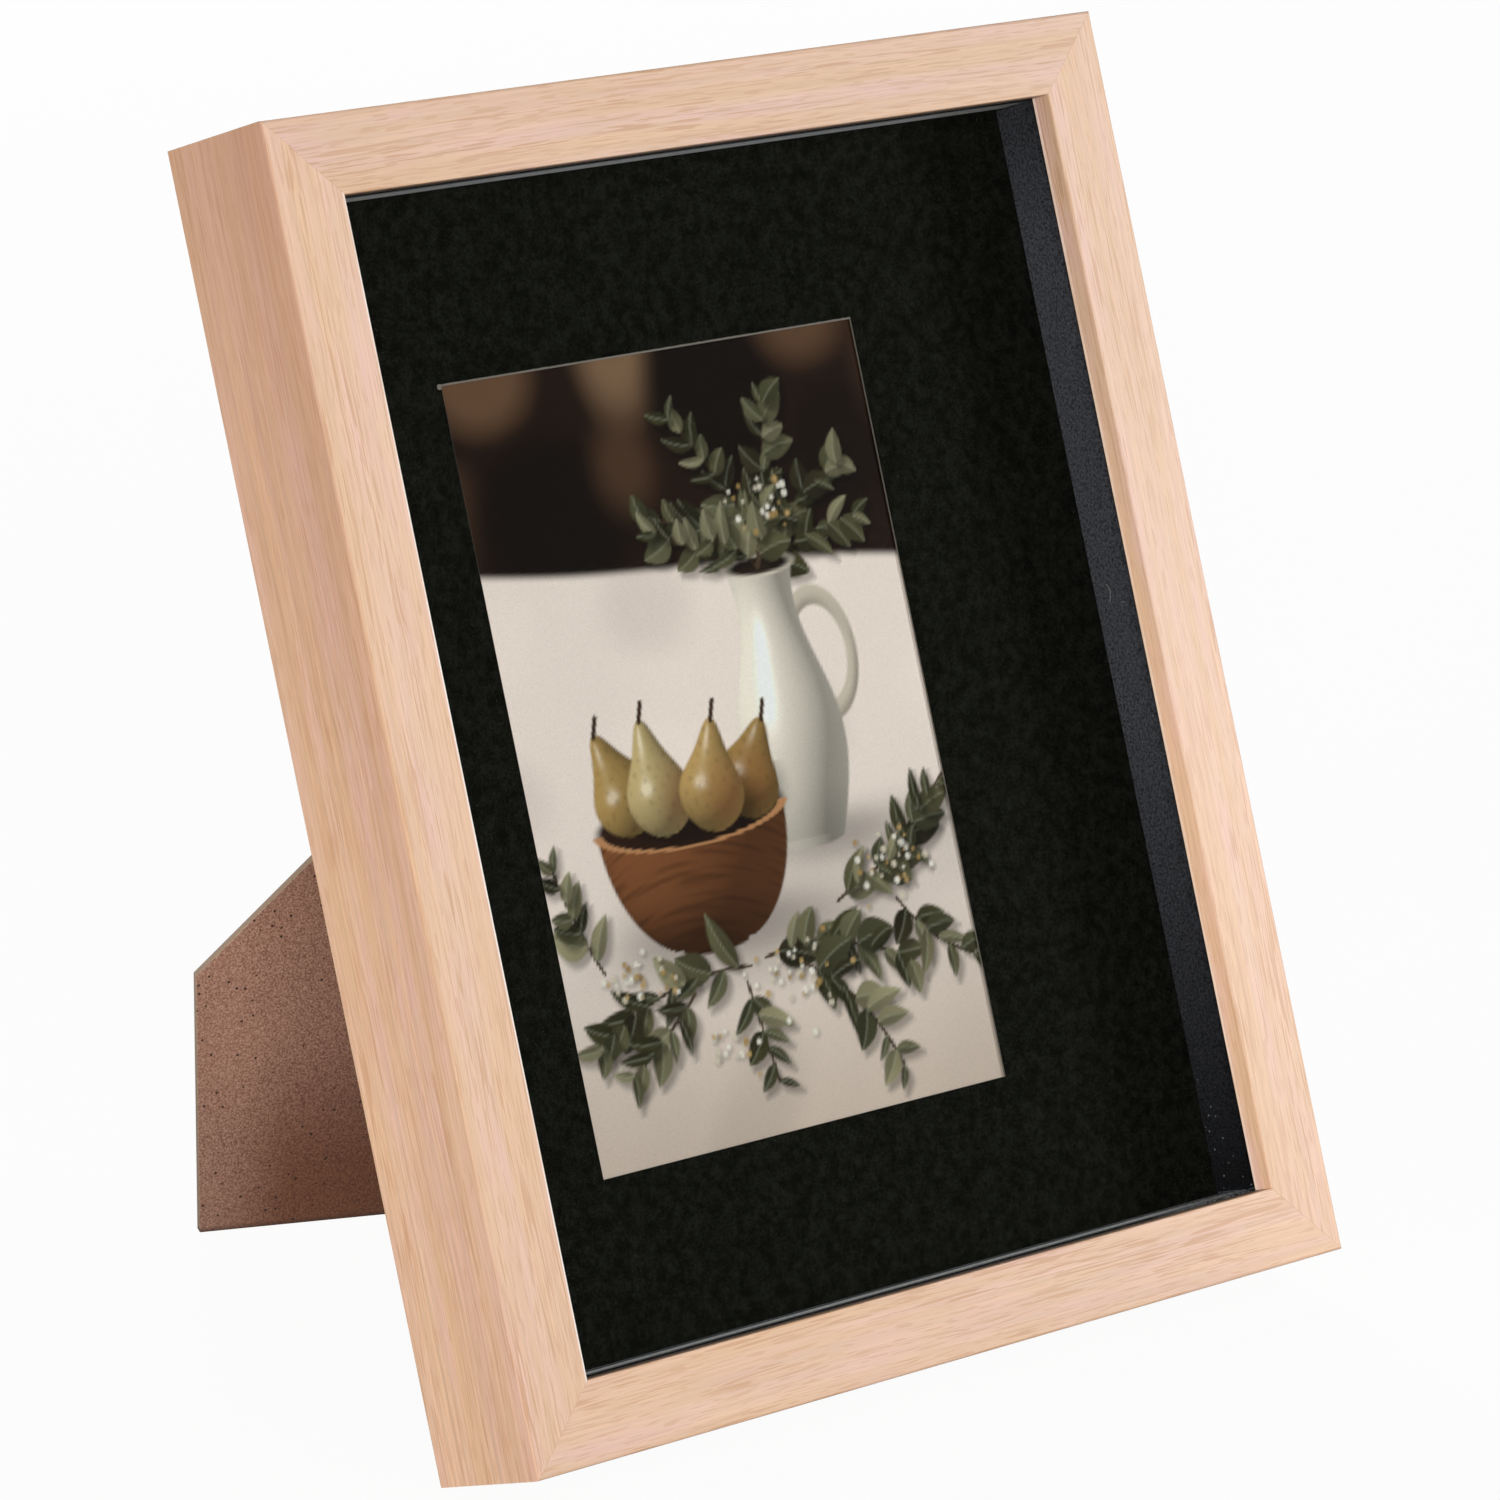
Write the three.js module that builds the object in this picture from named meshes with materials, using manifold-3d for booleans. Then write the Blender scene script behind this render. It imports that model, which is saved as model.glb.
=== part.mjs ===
// Shadow box picture frame for a 203 x 254 mm (8 x 10 inch) glass, standing on its folding strut.
// Every size is in millimetres. The frame is drawn upright, with x to the right, y to the back
// and z up, the front face at y = 0, and it is leant back on its strut at the end.

import * as THREE from 'three';
import { mergeVertices } from 'three/addons/utils/BufferGeometryUtils.js';
import Module from 'manifold-3d';

const wasm = await Module();
wasm.setup();

// Moulding
const wallThickness = 9.4;
const lipReach = 7.4;
const lipThickness = 5.3;
const outerEdgeRadius = 0.6;
const innerEdgeRadius = 0.3;
const edgeFacets = 3;
const mitreGap = 0.02;
const recessDepth = 10.6;

// Clearances between pieces
const seatGap = 0.3;
const sideGap = 0.3;
const runningGap = 0.1;
const nailGap = 0.15;

// Glass and what is stacked behind it
const glassWidth = 203.2;
const glassHeight = 254;
const glassThickness = 2;
const glassPlay = 1;
const spacerDepth = 9.7;
const mountThickness = 0.8;
const mountPlay = 0.6;
const windowWidth = 110.8;
const windowHeight = 164.8;
const windowFromCentreX = -12.4;
const windowFromCentreZ = -1.6;
const windowBevel = 0.3;
const printWidth = 127;
const printHeight = 178;
const printThickness = 0.3;
const backboardThickness = 3;
const backboardPlay = 0.6;

// Mitre nails, two driven one behind the other at each corner
const nailHeight = 9.6;
const nailSheet = 0.5;
const nailCover = 1.6;
const nailToGroove = 0.7;
const nailsPerCorner = 2;

// Turn clips that hold the backboard, each with its tip in a groove of the moulding
const clipThickness = 1;
const clipReach = 16;
const clipHalfWidth = 5.5;
const clipTipInGroove = 2.4;
const grooveDepth = 3;
const grooveSlack = 0.4;
const sideClipFromCorner = 33;
const endClipFromCorner = 57;

// Rivets
const shankRadius = 1.5;
const headRadius = 3;
const headHeight = 1;
const tailRadius = 2.4;
const tailHeight = 0.6;
const rivetSeat = 0.2;
// Rounding of a rivet head, as shares of its radius and its height from the seat up
const headRounding = [[1, 0.35], [0.86, 0.7], [0.5, 0.93]];

// Strut hinge
const pinRadius = 1;
const pinHeadRadius = 1.7;
const pinHeadLength = 0.8;
const knuckleWall = 0.9;
const leafThickness = 0.8;
const hingeHalfLength = 15;
const middleKnuckleHalfLength = 6;
const heelLength = 6;
const fixedLeafLength = 17;
const strutLeafLength = 20;
const leafRivetSpacing = 17;
const leafRivetToEdge = 5;
const hingeTilt = 35.5;
const hingeFromLeft = 164.25;
const hingeFromBottom = 197.6;

// Strut board
const strutThickness = 2.1;
const strutOpenAngle = 35.15;
const strutHalfWidthAtHinge = 16.7;
const strutTopToAxis = 3.4;
const footCornerFromAxisMiddle = 14;
const landscapeFootLength = 63.7;
const footCornerAngle = 93.9;

// Sawtooth hangers on the backboard
const hangerLength = 44;
const hangerWidth = 8;
const hangerSheet = 0.8;
const hangerStandOff = 2;
const hangerFootLength = 8.5;
const hangerToothCount = 5;
const hangerToothPitch = 4;
const hangerToothDepth = 1.6;
const hangerFromEdge = 16;

// Whole frame
const leanAngle = 21;

// Facets of a full circle, how far a cutting shape stands proud, and the distance that welds corners
const roundSegments = 24;
const overcut = 1;
const weldDistance = 1e-4;

// Worked out sizes
const faceWidth = wallThickness + lipReach;
const rebateWidth = glassWidth + 2 * glassPlay;
const rebateHeight = glassHeight + 2 * glassPlay;
const frameWidth = rebateWidth + 2 * wallThickness;
const frameHeight = rebateHeight + 2 * wallThickness;
const glassFront = lipThickness + seatGap;
const spacerFront = glassFront + glassThickness + seatGap;
const mountFront = spacerFront + spacerDepth + seatGap;
const printFront = mountFront + mountThickness + seatGap;
const backboardFront = printFront + printThickness + seatGap;
const backboardBack = backboardFront + backboardThickness;
const frameDepth = backboardBack + recessDepth;
const clipFront = backboardBack + seatGap;
const grooveFront = clipFront - grooveSlack;
const grooveBack = clipFront + clipThickness + grooveSlack;
const knuckleRadius = pinRadius + runningGap + knuckleWall;
const axisDepth = backboardBack + seatGap + knuckleRadius;
const strutInnerFace = knuckleRadius + seatGap;

const colours = {
  oak: 0xe2bf9b,
  glass: 0xf2f5f4,
  blackCard: 0x141412,
  print: 0xb9a78f,
  hardboard: 0x8a6753,
  steel: 0xb9bcc0,
};

const leantFrame = new THREE.Group();
const frame = new THREE.Group();
leantFrame.add(frame);

const radians = THREE.MathUtils.degToRad;

function finish(colour, roughness, metalness) {
  return new THREE.MeshStandardMaterial({ color: colour, roughness, metalness });
}

const oak = finish(colours.oak, 0.55, 0);
const clearGlass = finish(colours.glass, 0.03, 0);
const blackCard = finish(colours.blackCard, 0.9, 0);
const printPaper = finish(colours.print, 0.4, 0);
const hardboard = finish(colours.hardboard, 0.75, 0);
const steel = finish(colours.steel, 0.35, 1);

function place(parent, name, geometry, material, position = [0, 0, 0]) {
  const mesh = new THREE.Mesh(geometry, material.clone());
  mesh.name = name;
  mesh.position.set(...position);
  geometry.computeVertexNormals();
  parent.add(mesh);
  return mesh;
}

// Turn a closed geometry into a solid that can be joined and cut
function solidFrom(geometry) {
  const plain = geometry.index ? geometry.toNonIndexed() : geometry.clone();
  plain.deleteAttribute('normal');
  plain.deleteAttribute('uv');
  const merged = mergeVertices(plain, weldDistance);
  const vertProperties = new Float32Array(merged.attributes.position.array);
  const triVerts = new Uint32Array(merged.index.array);
  return new wasm.Manifold(new wasm.Mesh({ numProp: 3, vertProperties, triVerts }));
}

function geometryFrom(solid) {
  const mesh = solid.getMesh();
  const geometry = new THREE.BufferGeometry();
  geometry.setAttribute('position', new THREE.BufferAttribute(mesh.vertProperties, 3));
  geometry.setIndex(new THREE.BufferAttribute(mesh.triVerts, 1));
  return geometry;
}

function join(...geometries) {
  const solids = geometries.map(solidFrom);
  return geometryFrom(solids.reduce((whole, piece) => whole.add(piece)));
}

function cut(geometry, ...tools) {
  let solid = solidFrom(geometry);
  for (const tool of tools) solid = solid.subtract(solidFrom(tool));
  return geometryFrom(solid);
}

// Box between two y depths, centred on x and z
function slab(width, height, front, back, x = 0, z = 0) {
  const box = new THREE.BoxGeometry(width, back - front, height);
  return box.translate(x, (front + back) / 2, z);
}

// Flat plate with an outline drawn in x and z, between two y depths
function plate(outline, front, back) {
  const options = { depth: back - front, bevelEnabled: false, curveSegments: roundSegments / 2 };
  const solid = new THREE.ExtrudeGeometry(outline, options);
  return solid.rotateX(Math.PI / 2).translate(0, back, 0);
}

function outlineThrough(points) {
  return new THREE.Shape(points.map(([x, z]) => new THREE.Vector2(x, z)));
}

// Round bar along y
function barAlongY(radius, front, back, x = 0, z = 0) {
  const bar = new THREE.CylinderGeometry(radius, radius, back - front, roundSegments);
  return bar.translate(x, (front + back) / 2, z);
}

// Round bar along x, centred on the y and z axes
function barAlongX(radius, start, end) {
  const bar = new THREE.CylinderGeometry(radius, radius, end - start, roundSegments);
  return bar.rotateZ(Math.PI / 2).translate((start + end) / 2, 0, 0);
}

// Rivet along y: the head stands behind y = 0, and the tail is spread beyond the grip in front
function rivet(grip) {
  const tailBack = -grip - rivetSeat;
  const profile = [
    [0, tailBack - tailHeight],
    [tailRadius, tailBack - tailHeight],
    [tailRadius, tailBack],
    [shankRadius, tailBack],
    [shankRadius, rivetSeat],
    [headRadius, rivetSeat],
    ...headRounding.map(([across, up]) => [headRadius * across, rivetSeat + headHeight * up]),
    [0, rivetSeat + headHeight],
  ];
  const points = profile.map(([radius, y]) => new THREE.Vector2(radius, y));
  return new THREE.LatheGeometry(points, roundSegments);
}

// Hole for a rivet through a board that ends at the given depth, with a sunk seat for its tail
function rivetHole(x, z, back, thickness) {
  const front = back - thickness;
  const sinkDepth = tailHeight + rivetSeat + seatGap;
  const hole = barAlongY(shankRadius + runningGap, front - overcut, back + overcut, x, z);
  const sink = barAlongY(tailRadius + sideGap, front - overcut, front + sinkDepth, x, z);
  return join(hole, sink);
}

// Length of rivet between the outer face of the sheet it holds and the sunk seat in the backboard
function gripInBackboard(sheetThickness) {
  return sheetThickness + seatGap + backboardThickness - tailHeight - rivetSeat - seatGap;
}

// Moulding, four rails mitred at 45 degrees, with a lip in front and a groove for the clips
const clipGroove = [
  [wallThickness, grooveFront],
  [wallThickness - grooveDepth, grooveFront],
  [wallThickness - grooveDepth, grooveBack],
  [wallThickness, grooveBack],
];

// Quarter round at the front of a side wall, as points of how far in and how deep
function roundedEdge(radius) {
  const points = [];
  for (let facet = 0; facet <= edgeFacets; facet += 1) {
    const turn = Math.PI / 2 * facet / edgeFacets;
    points.push([radius * (1 - Math.cos(turn)), radius * (1 - Math.sin(turn))]);
  }
  return points;
}

const innerEdge = roundedEdge(innerEdgeRadius).toReversed();
const railSection = [
  ...roundedEdge(outerEdgeRadius),
  ...innerEdge.map(([inward, depth]) => [faceWidth - inward, depth]),
  [faceWidth, lipThickness],
  [wallThickness, lipThickness],
  ...clipGroove,
  [wallThickness, frameDepth],
  [0, frameDepth],
];

const nailApex = wallThickness - grooveDepth - nailToGroove;
const nailWing = nailApex - nailCover;

// Two thin wings at a right angle, outside corner at the origin, opening towards +x and +z
function nailBlock(grow, front, back) {
  const low = -nailSheet / 2 - grow;
  const high = nailSheet / 2 + grow;
  const end = nailWing + grow;
  const outline = outlineThrough([
    [low, low],
    [end, low],
    [end, high],
    [high, high],
    [high, end],
    [low, end],
  ]);
  return plate(outline, front, back);
}

function nailFront(index) {
  return frameDepth - seatGap - (index + 1) * nailHeight - index * seatGap;
}

// Rail along x with its outer edge at z = -offset and its mitres at both ends
function rail(length, offset) {
  const outline = outlineThrough(railSection);
  const bar = new THREE.ExtrudeGeometry(outline, { depth: length, bevelEnabled: false });
  const position = bar.attributes.position;
  for (let i = 0; i < position.count; i += 1) {
    const inward = position.getX(i);
    const depth = position.getY(i);
    const side = position.getZ(i) > length / 2 ? -1 : 1;
    position.setXYZ(i, side * (length / 2 - inward - mitreGap), depth, inward - offset);
  }
  const pocketFront = nailFront(nailsPerCorner - 1) - seatGap;
  const pocketBack = frameDepth + overcut;
  const leftPocket = nailBlock(nailGap, pocketFront, pocketBack).rotateY(Math.PI);
  const rightPocket = nailBlock(nailGap, pocketFront, pocketBack).rotateY(Math.PI / 2);
  leftPocket.translate(-length / 2 + nailApex, 0, nailApex - offset);
  rightPocket.translate(length / 2 - nailApex, 0, nailApex - offset);
  return cut(bar, leftPocket, rightPocket);
}

const rails = [
  ['bottom_rail', frameWidth, frameHeight / 2, 0],
  ['top_rail', frameWidth, frameHeight / 2, Math.PI],
  ['left_rail', frameHeight, frameWidth / 2, Math.PI / 2],
  ['right_rail', frameHeight, frameWidth / 2, -Math.PI / 2],
];
for (const [name, length, offset, turn] of rails) {
  place(frame, name, rail(length, offset), oak).rotation.y = turn;
}

const corners = [
  ['top_right', 1, 1, 0],
  ['bottom_right', 1, -1, Math.PI / 2],
  ['bottom_left', -1, -1, Math.PI],
  ['top_left', -1, 1, -Math.PI / 2],
];
for (const [corner, right, up, turn] of corners) {
  for (let index = 0; index < nailsPerCorner; index += 1) {
    const x = right * (frameWidth / 2 - nailApex);
    const z = up * (frameHeight / 2 - nailApex);
    const nail = nailBlock(0, 0, nailHeight).rotateY(turn);
    place(frame, `mitre_nail_${corner}_${index + 1}`, nail, steel, [x, nailFront(index), z]);
  }
}

// Glass
const pane = slab(glassWidth, glassHeight, glassFront, glassFront + glassThickness);
place(frame, 'glass_pane', pane, clearGlass);

// Box liner: four black strips that hold the mount away from the glass, flush with the lip inside
const stripThickness = lipReach - sideGap;
const stripLength = rebateWidth - 2 * sideGap;
const sideStripLength = rebateHeight - 2 * (lipReach + sideGap);
const stripX = rebateWidth / 2 - sideGap - stripThickness / 2;
const stripZ = rebateHeight / 2 - sideGap - stripThickness / 2;
const spacerBack = spacerFront + spacerDepth;
const strips = [
  ['spacer_top', stripLength, stripThickness, 0, stripZ],
  ['spacer_bottom', stripLength, stripThickness, 0, -stripZ],
  ['spacer_left', stripThickness, sideStripLength, -stripX, 0],
  ['spacer_right', stripThickness, sideStripLength, stripX, 0],
];
for (const [name, width, height, x, z] of strips) {
  place(frame, name, slab(width, height, spacerFront, spacerBack, x, z), blackCard);
}

// Mount with its bevelled window, and the print behind the window
function bevelledWindow() {
  const cutter = slab(windowWidth, windowHeight, -overcut, mountThickness + overcut);
  const position = cutter.attributes.position;
  for (let i = 0; i < position.count; i += 1) {
    const inset = windowBevel * position.getY(i) / mountThickness;
    const x = position.getX(i);
    const z = position.getZ(i);
    position.setX(i, x - Math.sign(x) * inset);
    position.setZ(i, z - Math.sign(z) * inset);
  }
  return cutter.translate(windowFromCentreX, mountFront, windowFromCentreZ);
}

const mountWidth = rebateWidth - 2 * mountPlay;
const mountHeight = rebateHeight - 2 * mountPlay;
const mountCard = slab(mountWidth, mountHeight, mountFront, mountFront + mountThickness);
place(frame, 'mount_board', cut(mountCard, bevelledWindow()), blackCard);
const print = slab(printWidth, printHeight, 0, printThickness);
place(frame, 'photo_print', print, printPaper, [windowFromCentreX, printFront, windowFromCentreZ]);

// Places on the back: clips, hangers and the two leaves of the hinge
const clipX = rebateWidth / 2 + clipTipInGroove - clipReach;
const clipZ = rebateHeight / 2 + clipTipInGroove - clipReach;
const sideClipZ = rebateHeight / 2 - sideClipFromCorner;
const endClipX = rebateWidth / 2 - endClipFromCorner;
const clips = [
  ['left_upper', -clipX, sideClipZ, Math.PI],
  ['left_lower', -clipX, -sideClipZ, Math.PI],
  ['right_upper', clipX, sideClipZ, 0],
  ['right_lower', clipX, -sideClipZ, 0],
  ['top_left', -endClipX, clipZ, -Math.PI / 2],
  ['top_right', endClipX, clipZ, -Math.PI / 2],
  ['bottom_left', -endClipX, -clipZ, Math.PI / 2],
  ['bottom_right', endClipX, -clipZ, Math.PI / 2],
];

const hangerRivetX = hangerLength / 2 - hangerFootLength / 2;
const hangers = [
  ['portrait', 0, rebateHeight / 2 - hangerFromEdge, 0],
  ['landscape', rebateWidth / 2 - hangerFromEdge, 0, Math.PI / 2],
];

const hinge = new THREE.Group();
hinge.position.set(-rebateWidth / 2 + hingeFromLeft, axisDepth, -rebateHeight / 2 + hingeFromBottom);
hinge.rotation.y = radians(hingeTilt);
frame.add(hinge);
hinge.updateMatrix();
const fixedLeafRivetZ = fixedLeafLength - leafRivetToEdge;
const strutLeafRivetZ = -strutLeafLength + leafRivetToEdge;
const leafRivetsX = [-leafRivetSpacing / 2, leafRivetSpacing / 2];

// Backboard with a hole for every rivet
const holes = clips.map(([, x, z]) => [x, z]);
for (const [, x, z, turn] of hangers) {
  const alongX = hangerRivetX * Math.cos(turn);
  const alongZ = -hangerRivetX * Math.sin(turn);
  holes.push([x - alongX, z - alongZ], [x + alongX, z + alongZ]);
}
for (const x of leafRivetsX) {
  const point = new THREE.Vector3(x, 0, fixedLeafRivetZ).applyMatrix4(hinge.matrix);
  holes.push([point.x, point.z]);
}
const backboardWidth = rebateWidth - 2 * backboardPlay;
const backboardHeight = rebateHeight - 2 * backboardPlay;
const backboardBlank = slab(backboardWidth, backboardHeight, backboardFront, backboardBack);
const rivetHoles = holes.map(([x, z]) => rivetHole(x, z, backboardBack, backboardThickness));
place(frame, 'backboard', cut(backboardBlank, ...rivetHoles), hardboard);

// Turn clips, each a flat steel tongue on its rivet
function clipOutline() {
  const tipCentre = clipReach - clipHalfWidth;
  const outline = new THREE.Shape();
  outline.absarc(tipCentre, 0, clipHalfWidth, -Math.PI / 2, Math.PI / 2, false);
  outline.absarc(0, 0, clipHalfWidth, Math.PI / 2, Math.PI * 1.5, false);
  const hole = new THREE.Path();
  hole.absarc(0, 0, shankRadius + runningGap, 0, Math.PI * 2, true);
  outline.holes.push(hole);
  return outline;
}

for (const [name, x, z, turn] of clips) {
  const clip = plate(clipOutline(), 0, clipThickness);
  place(frame, `turn_clip_${name}`, clip, steel, [x, clipFront, z]).rotation.y = turn;
  const clipRivet = rivet(gripInBackboard(clipThickness));
  place(frame, `clip_rivet_${name}`, clipRivet, steel, [x, clipFront + clipThickness, z]);
}

// Sawtooth hangers: a raised strip with teeth on its lower edge, on a foot at each end
function hangerGeometry() {
  const halfSpan = hangerLength / 2 - hangerFootLength;
  const halfWidth = hangerWidth / 2;
  const toothedHalf = hangerToothCount * hangerToothPitch / 2;
  const points = [[-halfSpan, halfWidth], [-halfSpan, -halfWidth]];
  for (let tooth = 0; tooth < hangerToothCount; tooth += 1) {
    const left = -toothedHalf + tooth * hangerToothPitch;
    points.push([left, -halfWidth]);
    points.push([left + hangerToothPitch / 2, -halfWidth + hangerToothDepth]);
  }
  points.push([toothedHalf, -halfWidth], [halfSpan, -halfWidth], [halfSpan, halfWidth]);
  const strip = plate(outlineThrough(points), hangerStandOff, hangerStandOff + hangerSheet);
  const pieces = [strip];
  for (const side of [-1, 1]) {
    const footX = side * (halfSpan + hangerFootLength / 2);
    const foot = slab(hangerFootLength, hangerWidth, 0, hangerSheet, footX);
    const holeBack = hangerSheet + overcut;
    const hole = barAlongY(shankRadius + runningGap, -overcut, holeBack, side * hangerRivetX);
    const step = slab(hangerSheet, hangerWidth, 0, hangerStandOff + hangerSheet);
    pieces.push(step.translate(side * (halfSpan + hangerSheet / 2), 0, 0));
    pieces.push(cut(foot, hole));
  }
  return join(...pieces);
}

for (const [name, x, z, turn] of hangers) {
  const bracket = new THREE.Group();
  bracket.position.set(x, backboardBack + seatGap, z);
  bracket.rotation.y = turn;
  frame.add(bracket);
  place(bracket, `${name}_hanger`, hangerGeometry(), steel);
  for (const [side, rivetX] of [['a', -hangerRivetX], ['b', hangerRivetX]]) {
    const grip = gripInBackboard(hangerSheet);
    place(bracket, `${name}_hanger_rivet_${side}`, rivet(grip), steel, [rivetX, hangerSheet, 0]);
  }
}

// Bores for the two rivets through a leaf or the strut, between two y depths
function leafBores(front, back, z) {
  const radius = shankRadius + runningGap;
  return leafRivetsX.map((x) => barAlongY(radius, front - overcut, back + overcut, x, z));
}

// Fixed leaf of the hinge: its middle knuckle, a narrow stem between the heels and a wide plate
function fixedLeafGeometry() {
  const stem = middleKnuckleHalfLength;
  const shoulder = heelLength + seatGap;
  const outline = outlineThrough([
    [-stem, 0],
    [stem, 0],
    [stem, shoulder],
    [hingeHalfLength, shoulder],
    [hingeHalfLength, fixedLeafLength],
    [-hingeHalfLength, fixedLeafLength],
    [-hingeHalfLength, shoulder],
    [-stem, shoulder],
  ]);
  const leaf = plate(outline, -knuckleRadius, -knuckleRadius + leafThickness);
  const knuckle = barAlongX(knuckleRadius, -stem, stem);
  const bore = barAlongX(pinRadius + runningGap, -stem - overcut, stem + overcut);
  return cut(join(leaf, knuckle), bore, ...leafBores(-knuckleRadius, 0, fixedLeafRivetZ));
}

place(hinge, 'hinge_fixed_leaf', fixedLeafGeometry(), steel);
for (const [side, x] of [['a', leafRivetsX[0]], ['b', leafRivetsX[1]]]) {
  const position = [x, -knuckleRadius + leafThickness, fixedLeafRivetZ];
  place(hinge, `fixed_leaf_rivet_${side}`, rivet(gripInBackboard(leafThickness)), steel, position);
}

// Hinge pin with a head at each end
function pinGeometry() {
  const end = hingeHalfLength + rivetSeat;
  const shaft = barAlongX(pinRadius, -end - pinHeadLength / 2, end + pinHeadLength / 2);
  const leftHead = barAlongX(pinHeadRadius, -end - pinHeadLength, -end);
  const rightHead = barAlongX(pinHeadRadius, end, end + pinHeadLength);
  return join(shaft, leftHead, rightHead);
}

place(hinge, 'hinge_pin', pinGeometry(), steel);

// The strut and its leaf turn about the pin; here they stand open, on the heels of the leaf
const strut = new THREE.Group();
strut.rotation.x = radians(strutOpenAngle);
hinge.add(strut);
strut.updateMatrix();

function strutLeafGeometry() {
  const back = knuckleRadius;
  const front = back - leafThickness;
  const notchHalf = middleKnuckleHalfLength + sideGap;
  const notchDepth = knuckleRadius + seatGap;
  const outline = outlineThrough([
    [-hingeHalfLength, 0],
    [-notchHalf, 0],
    [-notchHalf, -notchDepth],
    [notchHalf, -notchDepth],
    [notchHalf, 0],
    [hingeHalfLength, 0],
    [hingeHalfLength, -strutLeafLength],
    [-hingeHalfLength, -strutLeafLength],
  ]);
  const pieces = [plate(outline, front, back)];
  for (const [start, end] of [[-hingeHalfLength, -notchHalf], [notchHalf, hingeHalfLength]]) {
    pieces.push(barAlongX(knuckleRadius, start, end));
    const heel = slab(end - start, heelLength, -back, -front, (start + end) / 2, heelLength / 2);
    pieces.push(heel.rotateX(-radians(strutOpenAngle)));
  }
  const boreEnd = hingeHalfLength + overcut;
  const bore = barAlongX(pinRadius + runningGap, -boreEnd, boreEnd);
  return cut(join(...pieces), bore, ...leafBores(front, back, strutLeafRivetZ));
}

place(strut, 'hinge_strut_leaf', strutLeafGeometry(), steel);

// Height of a point of the strut's inner face above the floor that the leant frame stands on
const lean = radians(leanAngle);
const floorLevel = -frameHeight / 2 * Math.cos(lean) - frameDepth * Math.sin(lean);
function heightAboveFloor(x, z) {
  const point = new THREE.Vector3(x, strutInnerFace, z);
  point.applyMatrix4(strut.matrix).applyMatrix4(hinge.matrix);
  return point.z * Math.cos(lean) - point.y * Math.sin(lean) - floorLevel;
}

// Board with two feet that meet at a corner: it stands on the first in portrait
function strutOutline() {
  const risePerX = heightAboveFloor(1, 0) - heightAboveFloor(0, 0);
  const risePerZ = heightAboveFloor(0, 1) - heightAboveFloor(0, 0);
  const slope = -risePerX / risePerZ;
  const footAtMiddle = -heightAboveFloor(0, 0) / risePerZ;
  const cornerX = -footCornerFromAxisMiddle;
  const cornerZ = footAtMiddle + slope * cornerX;
  const turn = Math.atan(slope) + radians(footCornerAngle);
  const sideX = cornerX + landscapeFootLength * Math.cos(turn);
  const sideZ = cornerZ + landscapeFootLength * Math.sin(turn);
  const topZ = -strutTopToAxis;
  const flare = (-sideX - strutHalfWidthAtHinge) / (topZ - sideZ);
  const farX = (strutHalfWidthAtHinge + flare * (topZ - footAtMiddle)) / (1 + flare * slope);
  return outlineThrough([
    [-strutHalfWidthAtHinge, topZ],
    [sideX, sideZ],
    [cornerX, cornerZ],
    [farX, footAtMiddle + slope * farX],
    [strutHalfWidthAtHinge, topZ],
  ]);
}

const strutOuterFace = strutInnerFace + strutThickness;
const strutBlank = plate(strutOutline(), strutInnerFace, strutOuterFace);
const strutBores = leafBores(strutInnerFace, strutOuterFace, strutLeafRivetZ);
place(strut, 'strut_board', cut(strutBlank, ...strutBores), hardboard);
for (const [side, x] of [['a', leafRivetsX[0]], ['b', leafRivetsX[1]]]) {
  const position = [x, strutOuterFace, strutLeafRivetZ];
  place(strut, `strut_rivet_${side}`, rivet(strutThickness + seatGap + leafThickness), steel, position);
}

// Lean the whole frame back and stand it on z = 0, centred on x and y
leantFrame.rotation.x = -lean;
leantFrame.updateMatrixWorld(true);
const reach = new THREE.Box3().setFromObject(leantFrame, true);
const middle = reach.getCenter(new THREE.Vector3());
leantFrame.position.set(-middle.x, -middle.y, -reach.min.z);

export default leantFrame;
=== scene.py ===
import math
import random

import bmesh
import bpy
import numpy as np
from mathutils import Matrix, Vector


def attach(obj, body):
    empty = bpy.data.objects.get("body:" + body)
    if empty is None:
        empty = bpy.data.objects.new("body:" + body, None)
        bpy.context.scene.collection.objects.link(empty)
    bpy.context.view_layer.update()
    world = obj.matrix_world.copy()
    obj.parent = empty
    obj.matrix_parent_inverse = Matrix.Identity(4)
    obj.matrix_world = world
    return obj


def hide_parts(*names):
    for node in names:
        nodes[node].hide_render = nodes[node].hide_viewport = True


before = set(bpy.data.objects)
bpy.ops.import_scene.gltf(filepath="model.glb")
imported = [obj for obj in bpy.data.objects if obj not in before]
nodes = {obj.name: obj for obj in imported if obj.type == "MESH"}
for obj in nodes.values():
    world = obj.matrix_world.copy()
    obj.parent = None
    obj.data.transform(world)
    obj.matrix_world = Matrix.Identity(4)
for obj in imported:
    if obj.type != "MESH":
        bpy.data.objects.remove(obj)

scene = bpy.context.scene
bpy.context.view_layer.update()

# Camera
# A long lens stands to the left of the frame, a little above it, and sees its front, its left side and the
# strut behind. Places are given in the frame's own upright millimetres: x right, y back from the front
# face, z up. The frame leans back by 21 degrees on the table.
lean = math.radians(21)
front_centre = Vector((0, -0.0399330, 0.1401718))
straighten = Matrix.Rotation(-lean, 3, "X")
on_table = Matrix.Translation(front_centre) @ straighten.to_4x4() @ Matrix.Scale(0.001, 4)

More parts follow.
